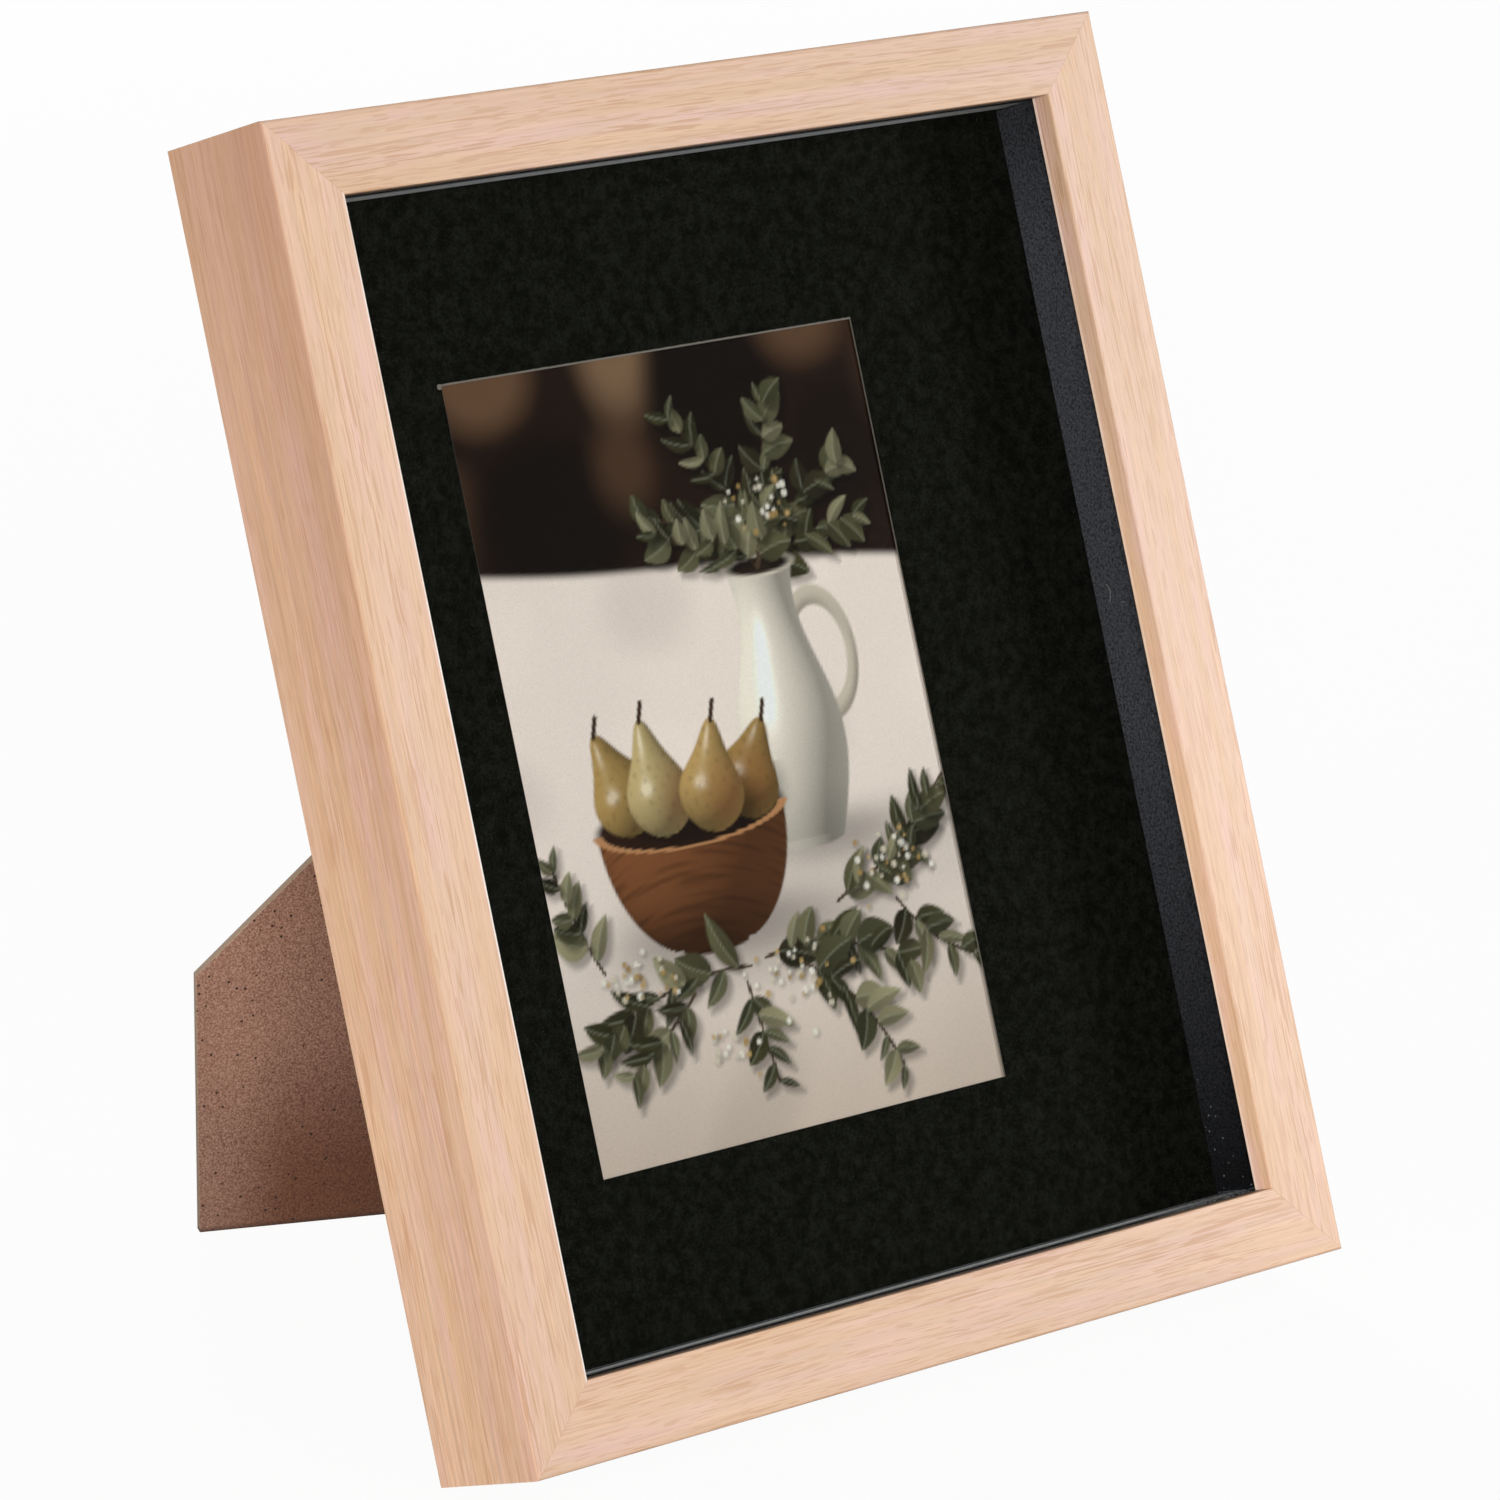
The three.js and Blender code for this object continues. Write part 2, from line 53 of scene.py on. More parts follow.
camera_data = bpy.data.cameras.new("camera")
camera_data.lens = 172.14
camera_data.sensor_width = 36
camera_data.shift_x = -0.0012
camera_data.shift_y = -0.0392
camera = bpy.data.objects.new("camera", camera_data)
scene.collection.objects.link(camera)
camera_right = straighten @ Vector((0.76185, -0.61594, -0.20049))
camera_up = straighten @ Vector((0.15700, -0.12471, 0.97969))
camera_back = straighten @ Vector((-0.62844, -0.77786, 0.00169))
camera_turn = Matrix((camera_right, camera_up, camera_back)).transposed().to_4x4()
camera_place = on_table @ Vector((-947.2, -1149.35, 9.76))
camera.matrix_world = Matrix.Translation(camera_place) @ camera_turn
scene.camera = camera
scene.view_settings.view_transform = "Standard"


# Table, backdrop and lamps
# A white studio sweep: the table is a pale sheet that keeps the frame's soft shadow, and the room behind it
# is white. Three soft boxes stand round the front, level with the leaning face, and one high behind.
def linear(code):
    """Linear colour with alpha for an sRGB hex colour such as "#e6c3a4"."""
    parts = [int(code[i:i + 2], 16) / 255 for i in (1, 3, 5)]
    return [p / 12.92 if p <= 0.04045 else ((p + 0.055) / 1.055) ** 2.4 for p in parts] + [1]


def add(tree, kind, inputs=(), **settings):
    """Adds one shader node, with its settings, and sets or links its inputs by name or number."""
    node = tree.nodes.new(kind)
    for field, value in settings.items():
        setattr(node, field, value)
    for name, value in dict(inputs).items():
        if isinstance(value, bpy.types.NodeSocket):
            tree.links.new(value, node.inputs[name])
        else:
            node.inputs[name].default_value = value
    return node


def new_material(name):
    material = bpy.data.materials.new(name)
    material.use_nodes = True
    material.node_tree.nodes.clear()
    return material


def in_sight(tree):
    """Factor of 1 for rays from the camera, a mirror or clear glass, which see the white surroundings."""
    path = add(tree, "ShaderNodeLightPath").outputs
    mirror = add(tree, "ShaderNodeMath", {0: path["Is Camera Ray"], 1: path["Is Glossy Ray"]},
                 operation="MAXIMUM")
    return add(tree, "ShaderNodeMath", {0: mirror.outputs[0], 1: path["Is Transmission Ray"]},
               operation="MAXIMUM").outputs[0]


room_light = 0.07
world = bpy.data.worlds.new("white_room")
world.use_nodes = True
world.node_tree.nodes.clear()
scene.world = world
tree = world.node_tree
strength = add(tree, "ShaderNodeMapRange", {"Value": in_sight(tree), "To Min": room_light, "To Max": 1.0})
room = add(tree, "ShaderNodeBackground", {"Color": (1, 1, 1, 1), "Strength": strength.outputs[0]})
add(tree, "ShaderNodeOutputWorld", {"Surface": room.outputs[0]})

glow_share = 0.95
table_sheet = new_material("white_paper_sweep")
tree = table_sheet.node_tree
paper_tone = add(tree, "ShaderNodeMix", {0: in_sight(tree), 6: linear("#8e8d8b"), 7: linear("#f4f4f4")},
                 data_type="RGBA").outputs[2]
paper = add(tree, "ShaderNodeBsdfDiffuse", {"Color": paper_tone})
glow = add(tree, "ShaderNodeEmission", {"Color": (1, 1, 1, 1), "Strength": 1.0})
share = add(tree, "ShaderNodeMath", {0: in_sight(tree), 1: glow_share}, operation="MULTIPLY")
sheet = add(tree, "ShaderNodeMixShader", {0: share.outputs[0], 1: paper.outputs[0], 2: glow.outputs[0]})
add(tree, "ShaderNodeOutputMaterial", {"Surface": sheet.outputs[0]})

table_half_width = 8.0
table_drop = 0.0003
table_mesh = bpy.data.meshes.new("table")
bm = bmesh.new()
bmesh.ops.create_grid(bm, x_segments=1, y_segments=1, size=table_half_width)
bmesh.ops.translate(bm, verts=bm.verts, vec=(0, 0, -table_drop))
bm.to_mesh(table_mesh)
bm.free()
table_mesh.materials.append(table_sheet)
table = bpy.data.objects.new("table", table_mesh)
scene.collection.objects.link(table)

frame_middle = Vector((0, 0, 0.13))
soft_boxes = [
    ("soft_box_front_left", (-0.9, -1.2, 0.62), 0.4, 11.2, (1, 1, 1)),
    ("soft_box_right", (2.0, -1.3, 0.64), 0.6, 37, (0.98, 0.99, 1.02)),
    ("soft_box_left", (-2.3, -0.5, 0.33), 0.5, 29, (1, 0.93, 0.88)),
    ("soft_box_back", (0.9, 2.2, 1.3), 1.2, 30, (1, 1, 1)),
]
for name, place, size, watts, tint in soft_boxes:
    lamp_data = bpy.data.lights.new(name, "AREA")
    lamp_data.shape = "SQUARE"
    lamp_data.size = size
    lamp_data.energy = watts
    lamp_data.color = tint
    lamp = bpy.data.objects.new(name, lamp_data)
    scene.collection.objects.link(lamp)
    lamp.location = place
    lamp.rotation_euler = (Vector(place) - frame_middle).to_track_quat("Z", "Y").to_euler()

# Moulding
# Four mitred rails of a straight box moulding: an MDF core wrapped in printed oak foil, satin and pale,
# with its grain along each rail. The foil stops at the rear edge, and the rebate shows the bare core.
glass_half_width = 101.6
glass_half_height = 127.0
lip_cover = 6.4
face_width = 16.8
rebate_play = 1.0
opening_half_width = glass_half_width - lip_cover
opening_half_height = glass_half_height - lip_cover
outer_half_width = opening_half_width + face_width
rebate_half_width = glass_half_width + rebate_play
rebate_half_height = glass_half_height + rebate_play
groove_reach = 3.1
lip_back = 5.3
moulding_depth = 33.2
arris_width = 0.3
# Width of the painted highlight along the left rail's inner arris
arris_highlight_width = 0.55
cut_edge_width = 0.8


def upright_place(tree):
    """Each point's place in the frame's own upright millimetres."""
    here = add(tree, "ShaderNodeTexCoord").outputs["Object"]
    return add(tree, "ShaderNodeMapping", {
        "Vector": here, "Location": straighten.inverted() @ front_centre * -1000, "Rotation": (lean, 0, 0),
        "Scale": (1000, 1000, 1000),
    }).outputs[0]


def within(tree, value, low, high):
    """Mask of 1 where a value lies between low and high."""
    past_low = add(tree, "ShaderNodeMath", {0: value, 1: low}, operation="GREATER_THAN").outputs[0]
    short_of_high = add(tree, "ShaderNodeMath", {0: value, 1: high}, operation="LESS_THAN").outputs[0]
    return add(tree, "ShaderNodeMath", {0: past_low, 1: short_of_high}, operation="MULTIPLY").outputs[0]


def oak_foil(name, grain):
    """Oak foil on an MDF core. grain is the upright axis, 0 or 2, that the grain runs along."""
    def stretched(across, length):
        scale = [1 / across] * 3
        scale[grain] = 1 / length
        return scale

    material = new_material(name)
    tree = material.node_tree
    place = upright_place(tree)

    # Slow sideways wander of the grain lines, about a millimetre over a hand's width
    drift = add(tree, "ShaderNodeMapping", {"Vector": place, "Scale": stretched(25, 90)}).outputs[0]
    drift = add(tree, "ShaderNodeTexNoise", {"Vector": drift, "Scale": 1.0, "Detail": 1.0}).outputs["Color"]
    drift = add(tree, "ShaderNodeVectorMath", {0: drift, 1: (3, 3, 3)}, operation="MULTIPLY").outputs[0]
    in_grain = add(tree, "ShaderNodeVectorMath", {0: place, 1: drift}, operation="ADD").outputs[0]

    # Noises drawn out along the grain, each with its width and length in millimetres: broad bands of early
    # and late wood, fine fibres, the short dark dashes of the pores, and where the pores lie close. The last
    # three numbers turn each into a mask: where it starts, where it is full, and how strong it is then
    noises = {}
    masks = {}
    for layer, across, length, detail, low, high, most in [
        ("bands", 4, 150, 1, 0.34, 0.66, 1.0), ("lines", 1.0, 110, 2, 0.3, 0.7, 1.0),
        ("fibres", 0.42, 45, 1, 0.3, 0.7, 1.0), ("pores", 0.5, 13, 0, 0.59, 0.67, 0.75),
        ("fine_pores", 0.4, 6, 0, 0.61, 0.69, 0.45), ("dense", 5, 60, 1, 0.34, 0.56, 1.0),
        ("flush", 6, 22, 1, 0.36, 0.64, 1.0),
    ]:
        vector = add(tree, "ShaderNodeMapping", {
            "Vector": in_grain, "Scale": stretched(across, length),
        }).outputs[0]
        noises[layer] = add(tree, "ShaderNodeTexNoise", {
            "Vector": vector, "Scale": 1.0, "Detail": detail,
        }).outputs["Fac"]
        masks[layer] = add(tree, "ShaderNodeMapRange", {
            "Value": noises[layer], "From Min": low, "From Max": high, "To Max": most,
        }).outputs[0]
    dashes = add(tree, "ShaderNodeMath", {0: masks["pores"], 1: masks["dense"]},
                 operation="MULTIPLY").outputs[0]
    dashes = add(tree, "ShaderNodeMath", {0: dashes, 1: masks["fine_pores"]}, operation="MAXIMUM").outputs[0]
    early = add(tree, "ShaderNodeMix", {0: masks["flush"], 6: linear("#e1bda0"), 7: linear("#e4bcaa")},
                data_type="RGBA").outputs[2]
    wood = add(tree, "ShaderNodeMix", {0: masks["bands"], 6: early, 7: linear("#dfb894")},
               data_type="RGBA").outputs[2]
    fibre_tone = add(tree, "ShaderNodeMath", {0: masks["lines"], 1: masks["fibres"]},
                     operation="ADD").outputs[0]
    fibre_tone = add(tree, "ShaderNodeMapRange", {
        "Value": fibre_tone, "From Max": 2.0, "To Min": 0.91, "To Max": 1.09,
    }).outputs[0]
    wood = add(tree, "ShaderNodeVectorMath", {0: wood, "Scale": fibre_tone}, operation="SCALE").outputs[0]
    wood = add(tree, "ShaderNodeMix", {0: dashes, 6: wood, 7: linear("#ca9b75")}, data_type="RGBA").outputs[2]

    # Painted light makes the foil paler round the lower right corner. On the outer face of the left rail its
    # grain is stronger, and painted shade makes it browner to the top and to the front
    at = add(tree, "ShaderNodeSeparateXYZ", {0: place}).outputs
    to_right = add(tree, "ShaderNodeMapRange", {"Value": at["X"], "From Min": 50, "From Max": 100}).outputs[0]
    downward = add(tree, "ShaderNodeMapRange", {"Value": at["Z"], "From Min": 70, "From Max": -50}).outputs[0]
    painted_light_lower_right = add(tree, "ShaderNodeMath", {0: to_right, 1: downward}, operation="MULTIPLY").outputs[0]
    painted_light_lower_right = add(tree, "ShaderNodeMapRange", {"Value": painted_light_lower_right, "To Min": 1.0, "To Max": 1.1}).outputs[0]
    wood = add(tree, "ShaderNodeVectorMath", {0: wood, "Scale": painted_light_lower_right}, operation="SCALE").outputs[0]
    outer_left = add(tree, "ShaderNodeMath", {0: at["X"], 1: arris_width - outer_half_width},
                     operation="LESS_THAN").outputs[0]
    side_grain = add(tree, "ShaderNodeMath", {0: fibre_tone, 1: outer_left}, operation="POWER").outputs[0]
    wood = add(tree, "ShaderNodeVectorMath", {0: wood, "Scale": side_grain}, operation="SCALE").outputs[0]
    upward = add(tree, "ShaderNodeMapRange", {
        "Value": at["Z"], "From Min": -50, "From Max": 130, "To Max": 0.5,
    }).outputs[0]
    forward = add(tree, "ShaderNodeMapRange", {
        "Value": at["Y"], "From Min": 9, "From Max": 24, "To Min": 0.16, "To Max": 0.0,
    }).outputs[0]
    painted_side_shade = add(tree, "ShaderNodeMath", {0: upward, 1: forward}, operation="ADD").outputs[0]
    painted_side_shade = add(tree, "ShaderNodeMath", {0: painted_side_shade, 1: outer_left}, operation="MULTIPLY").outputs[0]
    wood = add(tree, "ShaderNodeMix", {0: painted_side_shade, 6: wood, 7: linear("#a87a62")},
               data_type="RGBA").outputs[2]

    if grain == 2:
        # Painted shade darkens the right rail's lip towards the top. A painted highlight lies along the left
        # rail's inner arris. The foil's white paper shows at its cut edge along the back of the right lip
        right_lip = within(tree, at["X"], opening_half_width - 0.2, opening_half_width + 0.08)
        painted_right_lip_shade = add(tree, "ShaderNodeMapRange", {
            "Value": at["Z"], "From Min": -20, "From Max": 122, "To Min": 0.93, "To Max": 0.68,
        }).outputs[0]
        painted_right_lip_shade = add(tree, "ShaderNodeMix", {0: right_lip, 2: 1.0, 3: painted_right_lip_shade}).outputs[0]
        wood = add(tree, "ShaderNodeVectorMath", {0: wood, "Scale": painted_right_lip_shade}, operation="SCALE").outputs[0]
        # Painted highlight along the left rail's inner arris, on the front face
        left_arris = within(tree, at["X"], -opening_half_width - arris_highlight_width, -opening_half_width + 0.2)
        on_front = add(tree, "ShaderNodeMath", {0: at["Y"], 1: 0.5}, operation="LESS_THAN").outputs[0]
        painted_arris_highlight = add(tree, "ShaderNodeMath", {0: left_arris, 1: on_front}, operation="MULTIPLY").outputs[0]
        at_rear = add(tree, "ShaderNodeMath", {0: at["Y"], 1: lip_back - cut_edge_width},
                      operation="GREATER_THAN").outputs[0]
        cut_edge = add(tree, "ShaderNodeMath", {0: right_lip, 1: at_rear}, operation="MULTIPLY").outputs[0]
        cut_edge = add(tree, "ShaderNodeMath", {0: cut_edge, 1: 0.5}, operation="MULTIPLY").outputs[0]
        white = add(tree, "ShaderNodeMath", {0: painted_arris_highlight, 1: cut_edge}, operation="MAXIMUM").outputs[0]
        patchiness = add(tree, "ShaderNodeMapRange", {
            "Value": noises["flush"], "From Min": 0.3, "From Max": 0.6, "To Min": 0.4, "To Max": 0.8,
        }).outputs[0]
        white = add(tree, "ShaderNodeMath", {0: white, 1: patchiness}, operation="MULTIPLY").outputs[0]
        wood = add(tree, "ShaderNodeMix", {0: white, 6: wood, 7: linear("#f4ebe3")},
                   data_type="RGBA").outputs[2]
    else:
        # Painted shade makes the top rail's foil darker, and darkens the two level lips
        # to near black towards their rear
        painted_top_shade = add(tree, "ShaderNodeMapRange", {
            "Value": at["Z"], "From Min": -120, "From Max": 120, "To Min": 1.0, "To Max": 0.925,
        }).outputs[0]
        wood = add(tree, "ShaderNodeVectorMath", {0: wood, "Scale": painted_top_shade}, operation="SCALE").outputs[0]
        level_lips = within(tree, at["Z"], -opening_half_height - 0.12, opening_half_height + 0.12)
        painted_level_lip_shade = add(tree, "ShaderNodeMapRange", {
            "Value": at["Y"], "From Min": 0.3, "From Max": 3.5, "To Max": 0.92,
        }).outputs[0]
        painted_level_lip_shade = add(tree, "ShaderNodeMath", {0: painted_level_lip_shade, 1: level_lips}, operation="MULTIPLY").outputs[0]
        wood = add(tree, "ShaderNodeMix", {0: painted_level_lip_shade, 6: wood, 7: linear("#1c1517")},
                   data_type="RGBA").outputs[2]

    # Bare core on the rear edge, in the rebate and in the clip groove
    half_width = rebate_half_width + groove_reach
    half_height = rebate_half_height + groove_reach
    between_sides = within(tree, at["X"], -half_width, half_width)
    between_ends = within(tree, at["Z"], -half_height, half_height)
    behind = add(tree, "ShaderNodeMath", {0: at["Y"], 1: lip_back - 0.05},
                 operation="GREATER_THAN").outputs[0]
    inside = add(tree, "ShaderNodeMath", {0: between_sides, 1: between_ends}, operation="MULTIPLY").outputs[0]
    inside = add(tree, "ShaderNodeMath", {0: inside, 1: behind}, operation="MULTIPLY").outputs[0]
    rear = add(tree, "ShaderNodeMath", {0: at["Y"], 1: moulding_depth - 0.06},
               operation="GREATER_THAN").outputs[0]
    bare = add(tree, "ShaderNodeMath", {0: inside, 1: rear}, operation="MAXIMUM").outputs[0]
    fluff = add(tree, "ShaderNodeTexNoise", {"Vector": place, "Scale": 1.1, "Detail": 4.0}).outputs["Fac"]
    core = add(tree, "ShaderNodeMix", {0: fluff, 6: linear("#a87f58"), 7: linear("#d0aa80")},
               data_type="RGBA").outputs[2]
    colour = add(tree, "ShaderNodeMix", {0: bare, 6: wood, 7: core}, data_type="RGBA").outputs[2]
    roughness = add(tree, "ShaderNodeMapRange", {"Value": bare, "To Min": 0.46, "To Max": 0.9}).outputs[0]

    # The foil is embossed along its pores, about a hundredth of a millimetre deep
    relief = add(tree, "ShaderNodeMath", {0: masks["fibres"], 1: dashes}, operation="SUBTRACT").outputs[0]
    emboss = add(tree, "ShaderNodeBump", {"Height": relief, "Strength": 0.35, "Distance": 0.00003}).outputs[0]
    surface = add(tree, "ShaderNodeBsdfPrincipled", {
        "Base Color": colour, "Roughness": roughness, "Normal": emboss,
    })
    add(tree, "ShaderNodeOutputMaterial", {"Surface": surface.outputs[0]})
    return material


def finish_nodes(names, material):
    for name in names:
        nodes[name].material_slots[0].material = material


finish_nodes(["top_rail", "bottom_rail"], oak_foil("oak_foil_level", 0))
finish_nodes(["left_rail", "right_rail"], oak_foil("oak_foil_upright", 2))

# Steel fittings
# Mitre nails, turn clips, rivets, hangers and the strut's hinge are pressed or cut from bright zinc-plated
# steel strip, which gives a pale grey satin metal with a faintly mottled plating.
zinc_plate = new_material("zinc_plated_steel")
tree = zinc_plate.node_tree
here = add(tree, "ShaderNodeTexCoord").outputs["Object"]
spangle = add(tree, "ShaderNodeTexNoise", {"Vector": here, "Scale": 900.0, "Detail": 3.0}).outputs["Fac"]
scuffs = add(tree, "ShaderNodeMapping", {"Vector": here, "Scale": (700, 700, 6000)}).outputs[0]
scuffs = add(tree, "ShaderNodeTexNoise", {"Vector": scuffs, "Scale": 1.0, "Detail": 2.0}).outputs["Fac"]
plating = add(tree, "ShaderNodeMix", {0: spangle, 6: linear("#a7abb1"), 7: linear("#d6d8da")},
              data_type="RGBA").outputs[2]
satin = add(tree, "ShaderNodeMapRange", {
    "Value": scuffs, "From Min": 0.3, "From Max": 0.7, "To Min": 0.24, "To Max": 0.42,
}).outputs[0]
ripple = add(tree, "ShaderNodeBump", {"Height": scuffs, "Strength": 0.2, "Distance": 0.00002}).outputs[0]
surface = add(tree, "ShaderNodeBsdfPrincipled", {
    "Base Color": plating, "Metallic": 1.0, "Roughness": satin, "Normal": ripple,
})
add(tree, "ShaderNodeOutputMaterial", {"Surface": surface.outputs[0]})


def ease_edges(names, width):
    """Takes the sharp corner off pressed or sawn pieces, by width in metres."""
    for name in names:
        weld = nodes[name].modifiers.new("join_facets", "WELD")
        weld.merge_threshold = 0.000005
        ease = nodes[name].modifiers.new("eased_edge", "BEVEL")
        ease.width = width
        ease.segments = 2
        ease.limit_method = "ANGLE"
        ease.angle_limit = math.radians(40)


corner_names = ["top_right", "bottom_right", "bottom_left", "top_left"]
clip_names = ["left_upper", "left_lower", "right_upper", "right_lower",
              "top_left", "top_right", "bottom_left", "bottom_right"]
turn_clips = [f"turn_clip_{name}" for name in clip_names]
hangers = ["portrait_hanger", "landscape_hanger"]
rivets = [f"clip_rivet_{name}" for name in clip_names]
rivets += [f"{name}_rivet_{side}" for name in hangers + ["fixed_leaf", "strut"] for side in "ab"]
finish_nodes([f"mitre_nail_{name}_{number}" for name in corner_names for number in (1, 2)], zinc_plate)
finish_nodes(turn_clips + hangers + rivets, zinc_plate)
finish_nodes(["hinge_fixed_leaf", "hinge_pin", "hinge_strut_leaf"], zinc_plate)
ease_edges(turn_clips + hangers, 0.00015)

# Glass
# One pane of clear 2 mm picture glass with a low-glare coat, so it mirrors the room only at a flat angle.
# Lamps shine straight through it.
picture_glass = new_material("low_glare_picture_glass")
tree = picture_glass.node_tree
clear = add(tree, "ShaderNodeBsdfTransparent", {"Color": linear("#fbfcfb")})
mirror = add(tree, "ShaderNodeBsdfGlossy", {"Color": (1, 1, 1, 1), "Roughness": 0.02})
glare = add(tree, "ShaderNodeFresnel", {"IOR": 1.03}).outputs[0]
pane = add(tree, "ShaderNodeMixShader", {0: glare, 1: clear.outputs[0], 2: mirror.outputs[0]})
add(tree, "ShaderNodeOutputMaterial", {"Surface": pane.outputs[0]})
finish_nodes(["glass_pane"], picture_glass)

# Box liner
# Four strips of board wrapped in black velour paper, which hold the mount back from the glass. The short
# nap gives a mottled blue-black that is darker low down and near the top, and holds dust. On the top and
# bottom strips a grey band of painted light, brighter at the bottom, stands for the nap's sheen, with
# painted shade before and behind it. Crumbs lie at the right end of the bottom strip.
velour_paper = new_material("black_velour_paper")
tree = velour_paper.node_tree
place = upright_place(tree)
at = add(tree, "ShaderNodeSeparateXYZ", {0: place}).outputs
nap = add(tree, "ShaderNodeTexNoise", {
    "Vector": place, "Scale": 1.7, "Detail": 3.0, "Roughness": 0.7,
}).outputs["Fac"]
nap_tone = add(tree, "ShaderNodeMapRange", {"Value": nap, "From Min": 0.34, "From Max": 0.66}).outputs[0]
paper_tone = add(tree, "ShaderNodeMix", {0: nap_tone, 6: linear("#2a2a2f"), 7: linear("#64656e")},
                 data_type="RGBA").outputs[2]
# Darker towards the bottom, and near the top end
height_darkening = add(tree, "ShaderNodeMapRange", {
    "Value": at["Z"], "From Min": -118, "From Max": -15, "To Min": 0.12, "To Max": 1.0,
}).outputs[0]
top_fade = add(tree, "ShaderNodeMapRange", {
    "Value": at["Z"], "From Min": 92, "From Max": 116, "To Min": 1.0, "To Max": 0.55,
}).outputs[0]
height_darkening = add(tree, "ShaderNodeMath", {0: height_darkening, 1: top_fade}, operation="MULTIPLY").outputs[0]
paper_tone = add(tree, "ShaderNodeVectorMath", {0: paper_tone, "Scale": height_darkening}, operation="SCALE").outputs[0]
# Painted light and shade on the level strips: a grey band for the nap's sheen, near-black shade around it
level_strip = add(tree, "ShaderNodeMath", {0: at["Z"]}, operation="ABSOLUTE").outputs[0]
level_strip = add(tree, "ShaderNodeMath", {
    0: level_strip, 1: opening_half_height - 0.3,
}, operation="GREATER_THAN").outputs[0]
lit_band_rear = add(tree, "ShaderNodeMapRange", {
    "Value": at["Z"], "From Min": -50, "From Max": 50, "To Min": 14.0, "To Max": 17.0,
}).outputs[0]
past_front = add(tree, "ShaderNodeMapRange", {"Value": at["Y"], "From Min": 8.8, "From Max": 11.0}).outputs[0]
short_of_rear = add(tree, "ShaderNodeMath", {0: at["Y"], 1: lit_band_rear}, operation="LESS_THAN").outputs[0]
lit_band = add(tree, "ShaderNodeMath", {0: past_front, 1: short_of_rear}, operation="MULTIPLY").outputs[0]
lit_band_tone = add(tree, "ShaderNodeMapRange", {
    "Value": at["Z"], "From Min": -50, "From Max": 50, "To Min": 0.95, "To Max": 0.62,
}).outputs[0]
lit_band_tone = add(tree, "ShaderNodeCombineColor", {0: lit_band_tone, 1: lit_band_tone, 2: lit_band_tone}).outputs[0]
painted_level_strip_light = add(tree, "ShaderNodeMix", {0: lit_band, 6: linear("#141316"), 7: lit_band_tone},
                 data_type="RGBA").outputs[2]
paper_tone = add(tree, "ShaderNodeMix", {0: level_strip, 6: paper_tone, 7: painted_level_strip_light},
                 data_type="RGBA").outputs[2]
speck = add(tree, "ShaderNodeTexVoronoi", {"Vector": place, "Scale": 0.5})
speck_size = add(tree, "ShaderNodeMapRange", {
    "Value": speck.outputs["Distance"], "From Min": 0.06, "From Max": 0.14, "To Min": 1.0, "To Max": 0.0,
}).outputs[0]
rarity = add(tree, "ShaderNodeMapRange", {
    "Value": at["Z"], "From Min": -120, "From Max": -70, "To Min": 0.35, "To Max": 0.92,
}).outputs[0]
rare = add(tree, "ShaderNodeSeparateColor", {0: speck.outputs["Color"]}).outputs[0]
rare = add(tree, "ShaderNodeMath", {0: rare, 1: rarity}, operation="GREATER_THAN").outputs[0]
dust = add(tree, "ShaderNodeMath", {0: speck_size, 1: rare}, operation="MULTIPLY").outputs[0]
right_end = add(tree, "ShaderNodeMapRange", {"Value": at["X"], "From Min": 66, "From Max": 84}).outputs[0]
on_bottom = add(tree, "ShaderNodeMath", {0: at["Z"], 1: 0.4 - opening_half_height},
                operation="LESS_THAN").outputs[0]
crumbs = add(tree, "ShaderNodeTexNoise", {"Vector": place, "Scale": 1.3, "Detail": 3.0}).outputs["Fac"]
crumbs = add(tree, "ShaderNodeMapRange", {"Value": crumbs, "From Min": 0.44, "From Max": 0.54}).outputs[0]
crumbs = add(tree, "ShaderNodeMath", {0: crumbs, 1: right_end}, operation="MULTIPLY").outputs[0]
crumbs = add(tree, "ShaderNodeMath", {0: crumbs, 1: on_bottom}, operation="MULTIPLY").outputs[0]
dust = add(tree, "ShaderNodeMath", {0: dust, 1: crumbs}, operation="MAXIMUM").outputs[0]
paper_tone = add(tree, "ShaderNodeMix", {0: dust, 6: paper_tone, 7: linear("#8d9098")},
                 data_type="RGBA").outputs[2]
nap_relief = add(tree, "ShaderNodeBump", {"Height": nap, "Strength": 0.5, "Distance": 0.00005}).outputs[0]
surface = add(tree, "ShaderNodeBsdfPrincipled", {
    "Base Color": paper_tone, "Roughness": 0.95, "Specular IOR Level": 0.1, "Sheen Weight": 0.08,
    "Sheen Roughness": 0.4, "Sheen Tint": linear("#dfe2ea"), "Normal": nap_relief,
})
add(tree, "ShaderNodeOutputMaterial", {"Surface": surface.outputs[0]})
finish_nodes(["spacer_top", "spacer_bottom", "spacer_left", "spacer_right"], velour_paper)

# Lint on the liner
# Two curled fibres of white cotton lint, each a tenth of a millimetre thick, that cling to the nap of the
# right-hand strip near its middle.
lint_white = new_material("white_lint")
tree = lint_white.node_tree
here = add(tree, "ShaderNodeTexCoord").outputs["Object"]
strand = add(tree, "ShaderNodeTexNoise", {"Vector": here, "Scale": 9000.0}).outputs["Fac"]
lint_tone = add(tree, "ShaderNodeMix", {0: strand, 6: linear("#8a8a88"), 7: linear("#c8c8c4")},
                data_type="RGBA").outputs[2]
surface = add(tree, "ShaderNodeBsdfPrincipled", {"Base Color": lint_tone, "Roughness": 0.9})
add(tree, "ShaderNodeOutputMaterial", {"Surface": surface.outputs[0]})
lint_radius = 0.05
lint_curls = {
    "lint_long": [(13.4, 14.5), (12.6, 13.6), (12.3, 12.6), (12.9, 11.4), (13.3, 10.5)],
    "lint_short": [(9.6, 9.9), (9.0, 10.2), (8.4, 9.8)],
}
